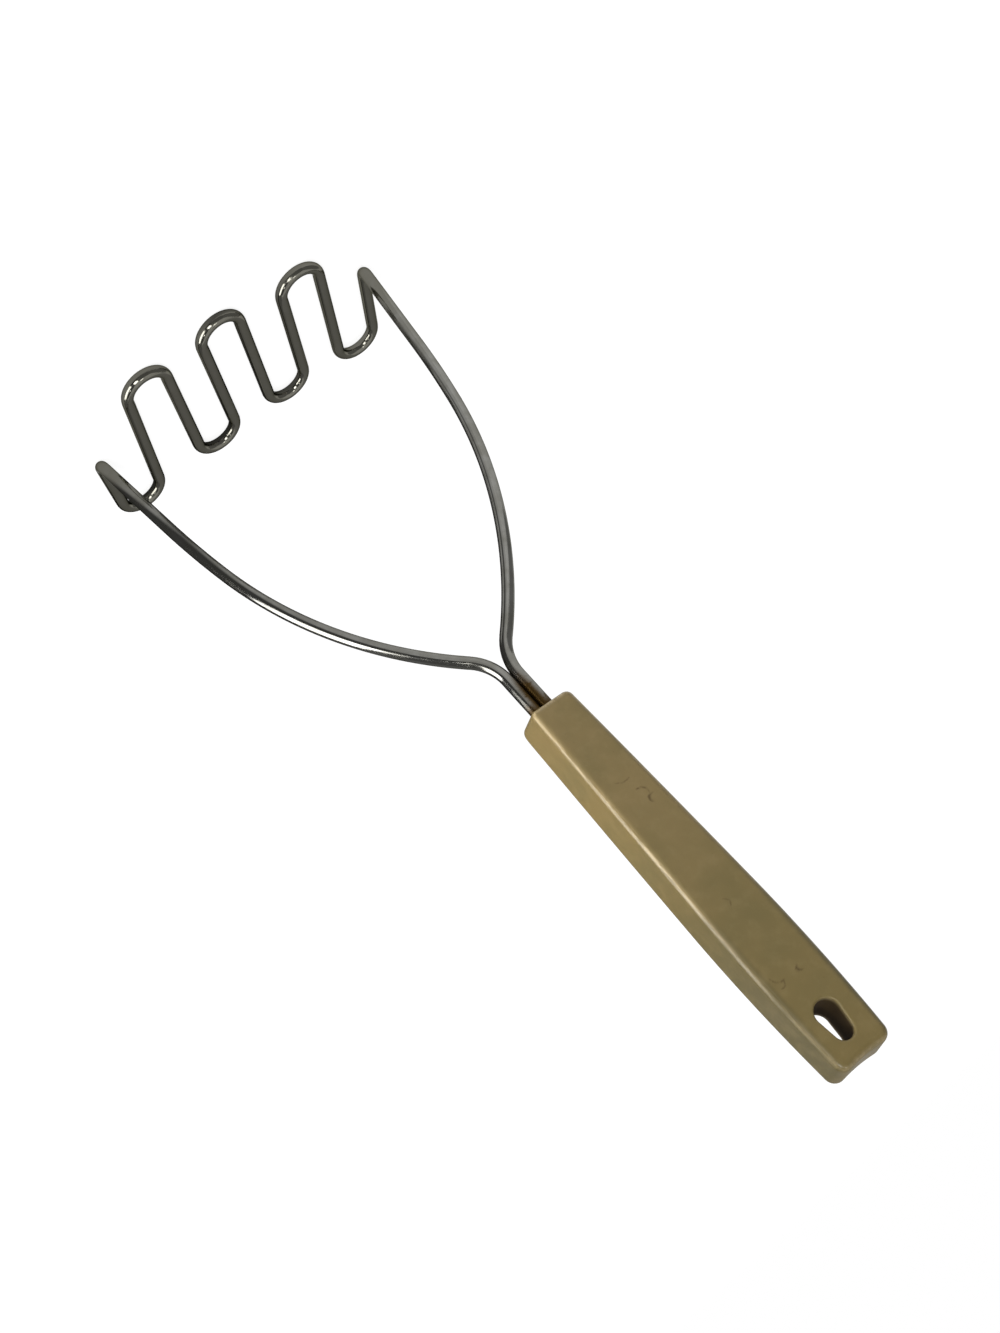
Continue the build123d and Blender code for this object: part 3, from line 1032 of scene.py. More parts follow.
@dataclass
class MouldedHandle:
    """The handle in its own frame: X across to the right, Y to the front, Z from its mouth to its end."""

    material: bpy.types.Material
    length: float = 119.8 * MM
    straight_length: float = 68.4 * MM
    mouth_width: float = 13.0 * MM
    swell_width: float = 18.1 * MM
    end_width: float = 17.1 * MM
    mouth_thickness: float = 14.8 * MM
    middle_thickness: float = 14.4 * MM
    end_thickness: float = 11.4 * MM
    mouth_slant: float = 2.0 * MM
    edge_radius: float = 1.9 * MM
    mouth_front_radius: float = 2.0 * MM
    mouth_back_radius: float = 3.2 * MM
    corner_radius: float = 3.0 * MM
    end_hollow: float = 0.8 * MM
    overrun: float = 3.0 * MM
    hole_radius: float = 3.5 * MM
    tip_radius: float = 2.6 * MM
    back_tip_radius: float = 3.2 * MM
    hole_length: float = 11.5 * MM
    hole_to_end: float = 11.7 * MM
    hole_shift: float = -0.7 * MM
    rim_radius: float = 0.6 * MM
    wire_diameter: float = WIRE_DIAMETER
    shank_gap: float = SHANK_GAP
    clearance: float = 0.1 * MM
    socket_depth: float = SHANK_DEPTH + 0.1 * MM
    lip_radius: float = 0.25 * MM
    mouth_height: float = MOUTH_HEIGHT
    twist: float = HANDLE_TWIST
    mouth_zone: float = 4.0 * MM
    slant_fade_ratio: float = 6.0
    coarse_step: float = 2.4 * MM
    fine_step: float = 0.8 * MM
    corner_steps: int = 8
    top_half_steps: int = 8
    edge_steps: int = 8
    mouth_steps: int = 9
    wall_steps: int = 6
    end_steps: int = 4
    patch_rings: int = 7
    patch_crowding: float = 1.4
    rim_steps: int = 5
    hole_wall_steps: int = 4
    mouth_face_steps: int = 5
    lip_steps: int = 3
    socket_shares: tuple[float, ...] = (0.08, 0.4, 1.0)
    weld: float = 0.004 * MM
    ridge_middle: float = 0.36
    ridge_reach: float = 0.35
    mouth_soil_depth: float = 2.0 * MM
    mouth_soil_reach: float = 1.1 * MM
    socket_soil_slack: float = 1.5
    socket_soil_depth: float = 1.01
    hole_dirt_and_shade_reach: float = 0.3 * MM
    hole_dirt_and_shade_depth: float = 1.6 * MM

    def half_thickness(self, along: float) -> float:
        """Works out half the handle's thickness, on one smooth curve through three stations.

        Args:
            along: Distance from the mouth.

        Returns:
            Half the thickness there.
        """
        stations = (-self.overrun, self.length / 2, self.length)
        values = (self.mouth_thickness / 2, self.middle_thickness / 2, self.end_thickness / 2)
        total = 0.0
        for i, value in enumerate(values):
            weight = value
            for j, station in enumerate(stations):
                if i != j:
                    weight *= (along - station) / (stations[i] - station)
            total += weight
        return total

    def straight_half_width(self, along: float) -> float:
        """Half the handle's width on its straight taper, at a distance from its mouth."""
        gain = (self.swell_width - self.mouth_width) / 2
        return self.mouth_width / 2 + gain * (along + self.overrun) / (self.straight_length + self.overrun)

    def side_circle(self) -> tuple[Vector, float]:
        """Finds the circle of the swell on the right side, which carries on the straight taper.

        Returns:
            Its centre and its radius.
        """
        foot = Vector((self.mouth_width / 2, -self.overrun))
        swell = Vector((self.swell_width / 2, self.straight_length))
        end = Vector((self.end_width / 2, self.length))
        heading = (swell - foot).normalized()
        inward = Vector((-heading.y, heading.x))
        chord = end - swell
        radius = chord.length_squared / (2 * chord.dot(inward))
        return swell + inward * radius, radius

    def right_half(self) -> tuple[list[Rim], int]:
        """Samples the outline from the mouth up the right side to the middle of the end.

        Returns:
            The points, and how many of them lie before the end corner.
        """
        foot = Vector((self.mouth_width / 2, -self.overrun))
        swell = Vector((self.swell_width / 2, self.straight_length))
        heading = (swell - foot).normalized()
        side_centre, side_radius = self.side_circle()
        half = self.end_width / 2
        top_radius = (half ** 2 + self.end_hollow ** 2) / (2 * self.end_hollow)
        top_centre = Vector((0, self.length - self.end_hollow + top_radius))
        corner = self.corner_centre(side_centre, side_radius - self.corner_radius, top_centre,
                                    top_radius + self.corner_radius)
        leave = (corner - side_centre).normalized()
        arrive = (top_centre - corner).normalized()

        rims = []
        for along in self.stations(self.mouth_zone, self.straight_length)[:-1]:
            rims.append(Rim(self.straight_half_width(along), along, heading.y, -heading.x))
        start = math.atan2(swell.y - side_centre.y, swell.x - side_centre.x)
        stop = math.atan2(leave.y, leave.x)
        for along in self.stations(self.straight_length, side_centre.y + side_radius * math.sin(stop)):
            angle = math.asin((along - side_centre.y) / side_radius)
            angle = min(max(angle, start), stop)
            out_across, out_along = math.cos(angle), math.sin(angle)
            rims.append(Rim(side_centre.x + side_radius * out_across, side_centre.y + side_radius * out_along,
                            out_across, out_along))
        side_count = len(rims)
        first, last = math.atan2(leave.y, leave.x), math.atan2(arrive.y, arrive.x)
        for step in range(1, self.corner_steps + 1):
            angle = first + (last - first) * step / self.corner_steps
            way = Vector((math.cos(angle), math.sin(angle)))
            place = corner + way * self.corner_radius
            rims.append(Rim(place.x, place.y, way.x, way.y))
        join = corner.x + arrive.x * self.corner_radius
        for step in range(1, self.top_half_steps + 1):
            across = join * (1 - step / self.top_half_steps)
            drop = math.sqrt(top_radius ** 2 - across ** 2)
            rims.append(Rim(across, top_centre.y - drop, -across / top_radius, drop / top_radius))
        return rims, side_count

    def stations(self, start: float, stop: float) -> list[float]:
        """Splits a length into steps that are finer from the hang hole on.

        Args:
            start: Where the length starts, along the handle.
            stop: Where it stops.

        Returns:
            The places from start to stop.
        """
        places, place = [], start
        while place < stop - self.fine_step / 2:
            places.append(place)
            near_hole = place > self.hole_span()[0] - self.coarse_step
            place += self.fine_step if near_hole else self.coarse_step
        return [*places, stop]

    def corner_centre(self, low: Vector, low_reach: float, high: Vector, high_reach: float) -> Vector:
        """Finds the right-hand point that lies at a given reach from each of two centres.

        Args:
            low: The first centre.
            low_reach: How far the point is from it.
            high: The second centre.
            high_reach: How far the point is from that one.

        Returns:
            The point.
        """
        across = high - low
        span = across.length
        share = (low_reach ** 2 - high_reach ** 2 + span ** 2) / (2 * span)
        height = math.sqrt(low_reach ** 2 - share ** 2)
        way = across / span
        normal = Vector((way.y, -way.x))
        options = [low + way * share + normal * height, low + way * share - normal * height]
        return max(options, key=lambda option: option.x)

    def hole_span(self) -> tuple[float, float]:
        """Lowest and highest reach of the hang hole along the handle, its rim included."""
        high = self.length - self.hole_to_end + self.hole_length / 2
        return high - self.hole_length - self.rim_radius, high + self.rim_radius

    def hole_tip(self, front: float) -> float:
        """Radius of the hang hole's narrow end at a depth of the handle."""
        share = (front + self.end_thickness) / (2 * self.end_thickness)
        return self.back_tip_radius + (self.tip_radius - self.back_tip_radius) * share

    def hole_point(self, way: Vector, front: float, outset: float) -> Vector:
        """Finds the hang hole's wall in one direction from its middle.

        Args:
            way: Direction across and along.
            front: How far to the front the point lies.
            outset: How far outside the wall the point lies.

        Returns:
            The point, across and along.
        """
        tip = self.hole_tip(front)
        narrow = self.length - self.hole_to_end + self.hole_length / 2 - tip
        wide = self.length - self.hole_to_end - self.hole_length / 2 + self.hole_radius
        middle = Vector((self.hole_shift, self.length - self.hole_to_end))

        def distance(reach: float) -> float:
            """Distance outside the wall, less the outset, at a reach from the hole's middle."""
            place = middle + way * reach
            return self.drop_distance(place.x - self.hole_shift, place.y - wide, narrow - wide, tip) - outset

        return middle + way * find_wall(distance, self.hole_length)

    def drop_distance(self, across: float, along: float, span: float, tip: float) -> float:
        """Works out the distance outside the hull of the hole's wide circle and its narrow one.

        Args:
            across: Place across the handle from the circles' middles.
            along: Place along the handle from the wide circle's middle.
            span: Distance between the two middles.
            tip: Radius of the narrow circle.

        Returns:
            The distance, negative inside the hole.
        """
        lean = (self.hole_radius - tip) / span
        rise = math.sqrt(1 - lean * lean)
        across = abs(across)
        share = -lean * across + rise * along
        if share < 0:
            return math.hypot(across, along) - self.hole_radius
        if share > rise * span:
            return math.hypot(across, along - span) - tip
        return across * rise + along * lean - self.hole_radius

    def skin_point(self, across: float, along: float, face: Face) -> Vector:
        """Places a point on the front or the back of the handle, with the mouth's slant."""
        front = face.value * self.half_thickness(along)
        return Vector((across, front, along + self.slant(front, along)))

    def slant(self, front: float, along: float) -> float:
        """How much further a point reaches towards the head because the mouth is cut at a slant."""
        fade = max(0.0, 1 - along / (self.slant_fade_ratio * self.mouth_slant))
        return -(self.mouth_thickness / 2 - front) * self.mouth_slant / self.mouth_thickness * fade ** 2

    def inner_point(self, rim: Rim) -> Vector:
        """Where the rounded long edge meets the broad face, across and along."""
        return Vector((rim.across - rim.out_across * self.edge_radius,
                       rim.along - rim.out_along * self.edge_radius))

    def edge_profile(self, rim: Rim) -> Row:
        """Samples the handle's edge from its front face to its back face at one outline point.

        Args:
            rim: The outline point.

        Returns:
            The points.
        """
        points = []
        for step in range(self.edge_steps + 1):
            bend = (math.pi / 2) * step / self.edge_steps
            inset = self.edge_radius * (1 - math.sin(bend))
            across, along = rim.across - rim.out_across * inset, rim.along - rim.out_along * inset
            front = self.half_thickness(along) - self.edge_radius * (1 - math.cos(bend))
            points.append((across, front, along))
        flank = self.half_thickness(rim.along) - self.edge_radius
        for step in range(1, self.wall_steps):
            points.append((rim.across, flank * (1 - 2 * step / self.wall_steps), rim.along))
        points += [(across, -front, along) for across, front, along in points[self.edge_steps::-1]]
        return [Vector((across, front, along + self.slant(front, along))) for across, front, along in points]

    def face_row(self, rim: Rim, face: Face) -> Row:
        """Samples a line straight across a broad face, from its right to its left.

        Args:
            rim: The outline point on the right that the line starts at.
            face: Which broad face.

        Returns:
            The points.
        """
        inner = self.inner_point(rim)
        count = 2 * (self.corner_steps + self.top_half_steps)
        return [self.skin_point(inner.x * (1 - 2 * i / count), inner.y, face) for i in range(count + 1)]

    def end_rows(self, rims: list[Rim], side_count: int, face: Face) -> list[Row]:
        """Closes a broad face from its last straight row up to the handle's end.

        Args:
            rims: The outline from the mouth up the right side to the middle of the end.
            side_count: How many of its points lie before the end corner.
            face: Which broad face.

        Returns:
            Rows of points, the straight one first.
        """
        last = self.inner_point(rims[side_count - 1])
        right = [self.inner_point(rim) for rim in rims[side_count - 1:]]
        arch = right + [Vector((-point.x, point.y)) for point in right[-2::-1]]
        rows, count = [], len(arch) - 1
        for step in range(self.end_steps + 1):
            share = step / self.end_steps
            row = []
            for i, point in enumerate(arch):
                base = Vector((last.x * (1 - 2 * i / count), last.y))
                place = base.lerp(point, share)
                row.append(self.skin_point(place.x, place.y, face))
            rows.append(row)
        return rows

    def hole_rings(self, border: Row, face: Face) -> list[Row]:
        """Rings from the border of the hang hole's patch to its wall.

        Args:
            border: Points round the patch, on the face.
            face: Which broad face.

        Returns:
            Rings from the border inward, over the rounded rim and down the wall to the handle's middle.
        """
        middle = Vector((self.hole_shift, self.length - self.hole_to_end))
        ways = [(Vector((point.x, point.z)) - middle).normalized() for point in border]
        edge = self.half_thickness(middle.y)
        crest = [self.hole_point(way, face.value * edge, self.rim_radius) for way in ways]
        rings = [border]
        for step in range(1, self.patch_rings):
            share = 1 - (1 - step / self.patch_rings) ** self.patch_crowding
            ring = []
            for point, inner in zip(border, crest):
                place = Vector((point.x, point.z)).lerp(inner, share)
                ring.append(self.skin_point(place.x, place.y, face))
            rings.append(ring)
        for step in range(self.rim_steps + 1):
            bend = (math.pi / 2) * step / self.rim_steps
            ring = []
            for way in ways:
                outset = self.rim_radius * (1 - math.sin(bend))
                place = self.hole_point(way, face.value * edge, outset)
                front = self.half_thickness(place.y) - self.rim_radius * (1 - math.cos(bend))
                ring.append(Vector((place.x, face.value * front, place.y)))
            rings.append(ring)
        starts = [self.hole_point(way, face.value * edge, 0.0) for way in ways]
        for step in range(1, self.hole_wall_steps + 1):
            left = face.value * (1 - step / self.hole_wall_steps)
            ring = []
            for way, start in zip(ways, starts):
                front = (self.half_thickness(start.y) - self.rim_radius) * left
                place = self.hole_point(way, front, 0.0)
                ring.append(Vector((place.x, front, place.y)))
            rings.append(ring)
        return rings

    def socket_point(self, way: Vector, outset: float) -> Vector:
        """Finds the socket's wall in one direction from the middle of the mouth.

        Args:
            way: The direction.
            outset: How far outside the wall the point lies.

        Returns:
            The point.
        """
        half = (self.wire_diameter + self.shank_gap) / 2
        radius = self.wire_diameter / 2 + self.clearance + outset

        def distance(reach: float) -> float:
            """Distance outside the wall, outset included, at a reach from the mouth's middle."""
            place = way * reach
            return math.hypot(max(abs(place.x) - half, 0.0), place.y) - radius

        return way * find_wall(distance, half + radius)

    def mouth_ring(self, section: Row, height: float) -> Row:
        """Draws the handle's first full section in where the mouth is rounded.

        Args:
            section: Points round the handle just past its mouth.
            height: How far the ring lies inside the plane of the mouth.

        Returns:
            One point of the ring for each point of the section.
        """
        def spread(radius: float) -> float:
            """Share of a rounding's radius that it has opened out by at this height."""
            return math.sqrt(1 - (1 - min(height / radius, 1.0)) ** 2)

        inner_x = self.straight_half_width(self.mouth_zone) - self.edge_radius
        inner_y = self.half_thickness(self.mouth_zone) - self.edge_radius
        ring = []
        for point in section:
            radius = self.mouth_front_radius if point.y > 0 else self.mouth_back_radius
            along = height + self.slant(point.y, 0.0)
            corner_x = self.straight_half_width(along) - self.edge_radius
            corner_y = self.half_thickness(along) - radius * (1 - spread(radius))
            corner_y -= self.edge_radius * spread(self.edge_radius)
            past_x, past_y = max(abs(point.x) - inner_x, 0.0), max(abs(point.y) - inner_y, 0.0)
            x = corner_x * min(abs(point.x) / inner_x, 1.0) + past_x * spread(self.edge_radius)
            y = corner_y * min(abs(point.y) / inner_y, 1.0) + past_y * spread(self.edge_radius)
            y = math.copysign(y, point.y)
            ring.append(Vector((math.copysign(x, point.x), y, height + self.slant(y, 0.0))))
        return ring

    def mouth_rings(self, section: Row) -> list[Row]:
        """Rings from the first full section over the rounded mouth, across it and down into the socket.

        Args:
            section: Points round the handle just past its mouth.

        Returns:
            The rings, the section first.
        """
        rings = [section]
        for step in range(self.mouth_steps + 1):
            bend = (math.pi / 2) * (1 - step / self.mouth_steps)
            rings.append(self.mouth_ring(section, self.mouth_back_radius * (1 - math.cos(bend))))
        ways = [Vector((point.x, point.y)).normalized() for point in rings[-1]]
        edge = rings[-1]
        lip = [self.socket_point(way, self.lip_radius) for way in ways]
        for step in range(1, self.mouth_face_steps + 1):
            share = step / self.mouth_face_steps
            ring = []
            for point, inner in zip(edge, lip):
                place = Vector((point.x, point.y)).lerp(inner, share)
                ring.append(Vector((place.x, place.y, self.slant(place.y, 0.0))))
            rings.append(ring)
        for step in range(1, self.lip_steps + 1):
            bend = (math.pi / 2) * step / self.lip_steps
            rise = self.lip_radius * (1 - math.cos(bend))
            ring = []
            for way in ways:
                place = self.socket_point(way, self.lip_radius * (1 - math.sin(bend)))
                ring.append(Vector((place.x, place.y, self.slant(place.y, 0.0) + rise)))
            rings.append(ring)
        wall = [self.socket_point(way, 0.0) for way in ways]
        for share in self.socket_shares:
            rings.append([Vector((place.x, place.y, self.socket_depth * share)) for place in wall])
        return rings

    def build(self) -> bpy.types.Object:
        """Assembles the handle from its sheets.

        Returns:
            The finished piece.
        """
        patchwork = Patchwork()
        rims, side_count = self.right_half()
        mirrored = [Rim(-rim.across, rim.along, -rim.out_across, rim.out_along) for rim in rims[-2::-1]]
        profiles = [self.edge_profile(rim) for rim in [*rims, *mirrored]]
        patchwork.add_grid(profiles)

        low, high = self.hole_span()
        inner = [self.inner_point(rim).y for rim in rims[:side_count]]
        below = max(i for i, along in enumerate(inner) if along < low - self.fine_step)
        above = min((i for i, along in enumerate(inner) if along > high + self.fine_step),
                    default=side_count - 1)
        for face in Face:
            rows = [self.face_row(rim, face) for rim in rims[:side_count]]
            patchwork.add_grid(rows[:below + 1])
            patchwork.add_grid(rows[above:])
            patchwork.add_grid(self.end_rows(rims, side_count, face))
            border = [row[0] for row in rows[below:above]] + rows[above][:-1]
            border += [row[-1] for row in rows[above:below:-1]] + rows[below][:0:-1]
            patchwork.add_grid(self.hole_rings(border, face), closed=True)

        front_row, back_row = self.face_row(rims[0], Face.FRONT), self.face_row(rims[0], Face.BACK)
        section = front_row[::-1][:-1] + profiles[0][:-1] + back_row[:-1] + profiles[-1][::-1][:-1]
        rings = self.mouth_rings(section)
        patchwork.add_grid(rings, closed=True)
        patchwork.add_cap(rings[-1])
        return self.dress(patchwork)

    def dress(self, patchwork: Patchwork) -> bpy.types.Object:
        """Joins the sheets, keeps each point's place in the handle's own frame and sets it on the wire.

        Args:
            patchwork: The handle's sheets in its own frame.

        Returns:
            The finished piece.
        """
        piece = patchwork.build("grip", weld=self.weld)
        mesh = piece.data
        places = [vertex.co.copy() for vertex in mesh.vertices]
        store_vectors(mesh, "lay", places)
        # Where the finish paints a highlight along the rounded long edges
        store_floats(mesh, "ridge", [self.ridge_share(place) for place in places])
        # Dirt round the mouth and in the socket, and dirt with painted shade in the hang hole
        store_floats(mesh, "dirt_and_hole_shade", [self.dirt_and_hole_shade_share(place) for place in places])
        shift = Vector((ARMS_PLANE_X, ARMS_PLANE_Y, HEAD_LEVEL + self.mouth_height))
        mesh.transform(Matrix.Translation(shift) @ Matrix.Rotation(self.twist, 4, "Z"))
        self.even_normals(mesh)
        mesh.materials.append(self.material)
        return piece

    def even_normals(self, mesh: bpy.types.Mesh) -> None:
        """Weights each point's normal by its faces' sizes, so that broad faces stay flat beside edges.

        Args:
            mesh: The handle's mesh.
        """
        normals = [Vector() for _ in mesh.vertices]
        for polygon in mesh.polygons:
            for index in polygon.vertices:
                normals[index] += polygon.normal * polygon.area
        mesh.normals_split_custom_set_from_vertices([normal.normalized() for normal in normals])

    def ridge_share(self, place: Vector) -> float:
        """Says how far a point lies on one of the rounded long edges, where the finish paints a highlight.

        Args:
            place: A point of the handle in its own frame.

        Returns:
            The share, from 0 to 1.
        """
        depth = self.half_thickness(place.z) - abs(place.y)
        off_middle = abs(depth - self.edge_radius * self.ridge_middle)
        return smooth_step(1 - off_middle / (self.edge_radius * self.ridge_reach))

    def dirt_and_hole_shade_share(self, place: Vector) -> float:
        """Says how much dirt a point holds inside the socket and close round the mouth, and how much dirt and
        painted shade it holds in the hang hole and close round it.

        Args:
            place: A point of the handle in its own frame.

        Returns:
            The share of dirt, from 0 to 1.
        """
        half = (self.wire_diameter + self.shank_gap) / 2
        off_slot = math.hypot(max(abs(place.x) - half, 0.0), place.y) - self.wire_diameter / 2
        in_mouth = smooth_step(1 - place.z / self.mouth_soil_depth)
        in_mouth *= smooth_step(1 - off_slot / self.mouth_soil_reach)
        on_wall = off_slot < self.clearance * self.socket_soil_slack
        in_socket = 1.0 if on_wall and place.z < self.socket_depth * self.socket_soil_depth else 0.0
        tip = self.hole_tip(place.y)
        narrow = self.length - self.hole_to_end + self.hole_length / 2 - tip
        wide = self.length - self.hole_to_end - self.hole_length / 2 + self.hole_radius
        off_hole = self.drop_distance(place.x - self.hole_shift, place.z - wide, narrow - wide, tip)
        depth = self.half_thickness(place.z) - abs(place.y)
        # Dirt and painted shade on the hang hole's wall
        in_hole = smooth_step(1 - abs(off_hole) / self.hole_dirt_and_shade_reach)
        in_hole *= smooth_step(depth / self.hole_dirt_and_shade_depth)
        return max(in_mouth, in_socket, in_hole)


@dataclass(frozen=True)
class Softbox:
    """A soft lamp that faces a point of the object. Azimuth is from +Y towards +X, in degrees."""

    name: str
    azimuth: float
    elevation: float
    distance: float
    width: float
    height: float
    radiance: float
    aim: Place = (0.0, 0.0, 0.13)
    mirrored: bool = True

    def way(self) -> Vector:
        """Direction from the object to the lamp."""
        turn, rise = math.radians(self.azimuth), math.radians(self.elevation)
        return Vector((math.sin(turn) * math.cos(rise), math.cos(turn) * math.cos(rise), math.sin(rise)))

    def place(self) -> None:
        """Sets the lamp up."""
        data = bpy.data.lights.new(self.name, "AREA")
        data.shape = "RECTANGLE"
        data.size, data.size_y = self.width, self.height
        data.energy = self.radiance * math.pi * self.width * self.height
        lamp = link_object(self.name, data)
        lamp.location = Vector(self.aim) + self.way() * self.distance
        lamp.rotation_euler = self.way().to_track_quat("Z", "Y").to_euler()
        lamp.visible_camera = False
        lamp.visible_glossy = self.mirrored


def hang_sheet(name: str, rows: list[Row], material: bpy.types.Material) -> None:
    """Sets up a sheet of the stage that shows in the metal's reflections only.

    Args:
        name: Name of the sheet.
        rows: Rows of its points.
        material: Its glow.
    """
    patchwork = Patchwork()
    patchwork.add_grid(rows)
    sheet = patchwork.build(name, weld=STAGE_WELD)
    sheet.data.materials.append(material)
    sheet.visible_camera = sheet.visible_diffuse = False
    sheet.visible_shadow = sheet.visible_transmission = False


@dataclass(frozen=True)
class Flag(Softbox):
    """A grey card that only shows in the metal's reflections. Its radiance is how grey it looks."""

    half_steps: int = 4

    def place(self) -> None:
        """Sets the card up."""
        turn = self.way().to_track_quat("Z", "Y").to_matrix()
        centre = Vector(self.aim) + self.way() * self.distance
        shares = [step / (2 * self.half_steps) for step in range(-self.half_steps, self.half_steps + 1)]
        rows = []
        for y in shares:
            rows.append([centre + turn @ Vector((x * self.width, y * self.height, 0)) for x in shares])
        material, graph, output = new_material(self.name)
        graph.feed(output.inputs["Surface"], graph.glow(self.radiance))
        hang_sheet(self.name, rows, material)


@dataclass(frozen=True)
class DarkMat:
    """A dark mat on the floor that only shows in reflections, faded out to the right and at a bare spot."""

    left: float = -1.6
    right: float = 0.07
    back: float = -1.5
    front: float = 1.1
    lift: float = 0.2 * MM
    lean: float = 0.25
    fade_start: float = -0.008
    fade_end: float = 0.046
    grey: float = 0.13
    faded_grey: float = 0.9
    bare_spot: Place = (-0.036, 0.022, 0.0)
    bare_radius: float = 0.022
    bare_fade: float = 0.052
    bare_grey: float = 0.8
    steps: int = 12

    def place(self) -> None:
        """Lays the mat."""
        rows = []
        for i in range(self.steps + 1):
            y = self.back + (self.front - self.back) * i / self.steps
            rows.append([Vector((self.left + (self.right - self.left) * j / self.steps, y, self.lift))
                         for j in range(self.steps + 1)])
        material, graph, output = new_material("mat")
        position = graph.add("ShaderNodeNewGeometry").outputs["Position"]
        parts = graph.add("ShaderNodeSeparateXYZ", {"Vector": position})
        past = graph.math("MULTIPLY_ADD", parts.outputs["Y"], self.lean, parts.outputs["X"])
        level = graph.remap(past, self.fade_start, self.fade_end, self.grey, self.faded_grey)
        reach = graph.add("ShaderNodeVectorMath", {0: position, 1: self.bare_spot}, operation="DISTANCE")
        bare = graph.remap(reach.outputs["Value"], self.bare_radius, self.bare_fade, self.bare_grey, 0.0)
        graph.feed(output.inputs["Surface"], graph.glow(graph.math("MAXIMUM", level, bare)))
        hang_sheet("mat", rows, material)


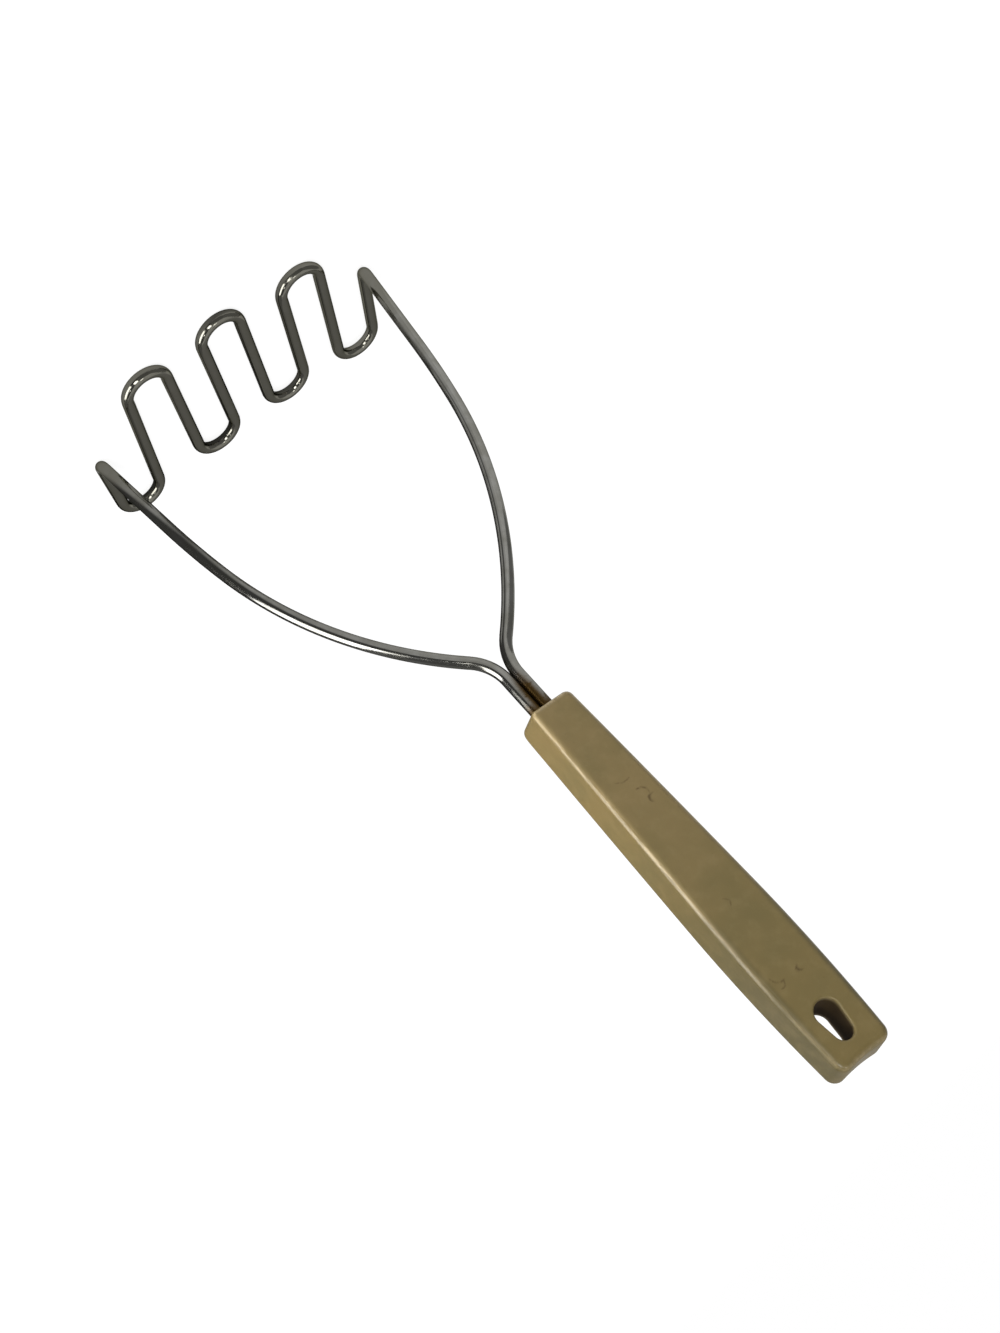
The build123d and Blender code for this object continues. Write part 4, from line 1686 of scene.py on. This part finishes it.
@dataclass(frozen=True)
class Studio:
    """The pale floor, the white surroundings, the lamps, what the metal mirrors, and the camera."""

    eye: Place = (-85.26 * MM, 464.92 * MM, 303.16 * MM)
    forward: Place = (0.1682, -0.9203, -0.3533)
    up: Place = (0.6150, 0.3781, -0.6920)
    lens_mm: float = 50.62
    floor_radius: float = 6.0
    floor_rings: int = 24
    floor_sides: int = 96
    room_level: float = 0.36
    paper: Colour = (0.86, 0.86, 0.85, 1.0)
    fibre: Colour = (0.8, 0.8, 0.79, 1.0)
    fibres: Mottle = Mottle(60.0, 3.0, 0.3, 0.7)
    fibre_share: float = 0.02
    shadow_paper: Colour = (0.3, 0.3, 0.3, 1.0)
    glow_reach: tuple[float, float] = (0.3, 1.2)
    glow_level: tuple[float, float] = (0.84, 0.95)
    lamps: tuple[Softbox, ...] = (
        Softbox("key_box", -26.0, 30.0, 0.75, 0.20, 0.46, 8.3),
        Softbox("spot_box", -72.0, 39.0, 0.9, 0.09, 0.09, 11.0),
        Softbox("window_box", -72.0, 3.0, 0.36, 0.37, 0.18, 6.3, (-0.02, 0.0, 0.085)),
        Softbox("top_box", 4.0, 66.0, 0.9, 0.14, 0.14, 8.0),
        Softbox("back_box", 160.0, 52.0, 1.1, 0.5, 0.4, 3.0, mirrored=False),
        Flag("front_card", 8.0, 24.0, 1.3, 1.7, 1.7, 0.28),
        Flag("left_card", -68.0, 38.0, 1.4, 1.9, 1.2, 0.18),
        Flag("low_card", -28.0, 2.0, 1.1, 0.62, 0.62, 0.13),
        Flag("right_card", 78.0, 24.0, 1.4, 2.2, 1.3, 0.34),
        Flag("back_card", 178.0, 26.0, 1.4, 2.2, 1.6, 0.50),
        Flag("far_card", -122.0, 14.0, 1.5, 1.3, 1.3, 0.30),
    )

    def build(self) -> None:
        """Sets up the whole studio."""
        self.lay_floor()
        self.light_room()
        for lamp in self.lamps:
            lamp.place()
            log.info("lamp %s", lamp.name)
        DarkMat().place()
        self.set_camera()

    def seen_directly(self, graph: Graph) -> Socket:
        """Tells rays from the camera, or from a gloss or clear surface that shows the room, from others.

        Args:
            graph: The graph of the material or the world.

        Returns:
            1 for such a ray and 0 for any other.
        """
        path = graph.add("ShaderNodeLightPath")
        mirrored = graph.math("MAXIMUM", path.outputs["Is Glossy Ray"], path.outputs["Is Transmission Ray"])
        return graph.math("MAXIMUM", path.outputs["Is Camera Ray"], mirrored)

    def lay_floor(self) -> None:
        """Makes the round floor of white paper, which keeps a faint shadow."""
        patchwork = Patchwork()
        turns = [2 * math.pi * c / self.floor_sides for c in range(self.floor_sides)]
        rings = []
        for step in range(1, self.floor_rings + 1):
            radius = self.floor_radius * (step / self.floor_rings) ** 2
            rings.append([Vector((radius * math.cos(turn), radius * math.sin(turn), 0.0)) for turn in turns])
        patchwork.add_grid(rings, closed=True)
        patchwork.add_cap(rings[0])
        floor = patchwork.build("floor", weld=STAGE_WELD)
        material, graph, output = new_material("paper")
        position = graph.add("ShaderNodeNewGeometry").outputs["Position"]
        fibres = graph.math("MULTIPLY", self.fibres.place(graph, position), self.fibre_share)
        plain = graph.add("ShaderNodeBsdfDiffuse", {"Color": graph.mix(fibres, self.paper, self.fibre)})
        shaded = graph.add("ShaderNodeBsdfDiffuse", {"Color": self.shadow_paper})
        reach = graph.add("ShaderNodeVectorMath", {0: position}, operation="LENGTH").outputs["Value"]
        glow = graph.glow(graph.remap(reach, *self.glow_reach, *self.glow_level))
        white = graph.add("ShaderNodeAddShader", {0: shaded.outputs["BSDF"], 1: glow})
        mixed = graph.add("ShaderNodeMixShader", {
            0: self.seen_directly(graph), 1: plain.outputs["BSDF"], 2: white.outputs["Shader"]})
        graph.feed(output.inputs["Surface"], mixed.outputs["Shader"])
        floor.data.materials.append(material)

    def light_room(self) -> None:
        """Fills the room with plain soft light and shows it white."""
        world = bpy.data.worlds.new("room")
        world.use_nodes = True
        world.node_tree.nodes.clear()
        graph = Graph(world.node_tree)
        strength = graph.remap(self.seen_directly(graph), 0.0, 1.0, self.room_level, 1.0)
        air = graph.add("ShaderNodeBackground", {"Color": WHITE, "Strength": strength})
        output = graph.add("ShaderNodeOutputWorld")
        graph.feed(output.inputs["Surface"], air.outputs["Background"])
        bpy.context.scene.world = world

    def set_camera(self) -> None:
        """Sets the camera where the photograph was taken from."""
        back, up = -Vector(self.forward).normalized(), Vector(self.up)
        right = up.cross(back).normalized()
        up = back.cross(right)
        data = bpy.data.cameras.new("camera")
        data.lens = self.lens_mm
        camera = link_object("camera", data)
        turn = Matrix((right, up, back)).transposed().to_4x4()
        camera.matrix_world = Matrix.Translation(Vector(self.eye)) @ turn
        bpy.context.scene.camera = camera


def main() -> None:
    logging.basicConfig(level=logging.INFO, format="%(name)s: %(message)s")
    bpy.context.scene.view_settings.view_transform = "Standard"

    wire = BentWire(PlatedSteel().build()).build()
    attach(wire, BODY)
    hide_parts("masher_wire")
    log.info("wire: %d faces", len(wire.data.polygons))

    handle = MouldedHandle(MouldedPlastic().build()).build()
    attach(handle, BODY)
    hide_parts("handle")
    log.info("handle: %d faces", len(handle.data.polygons))

    Studio().build()


if __name__ == "__main__":
    main()
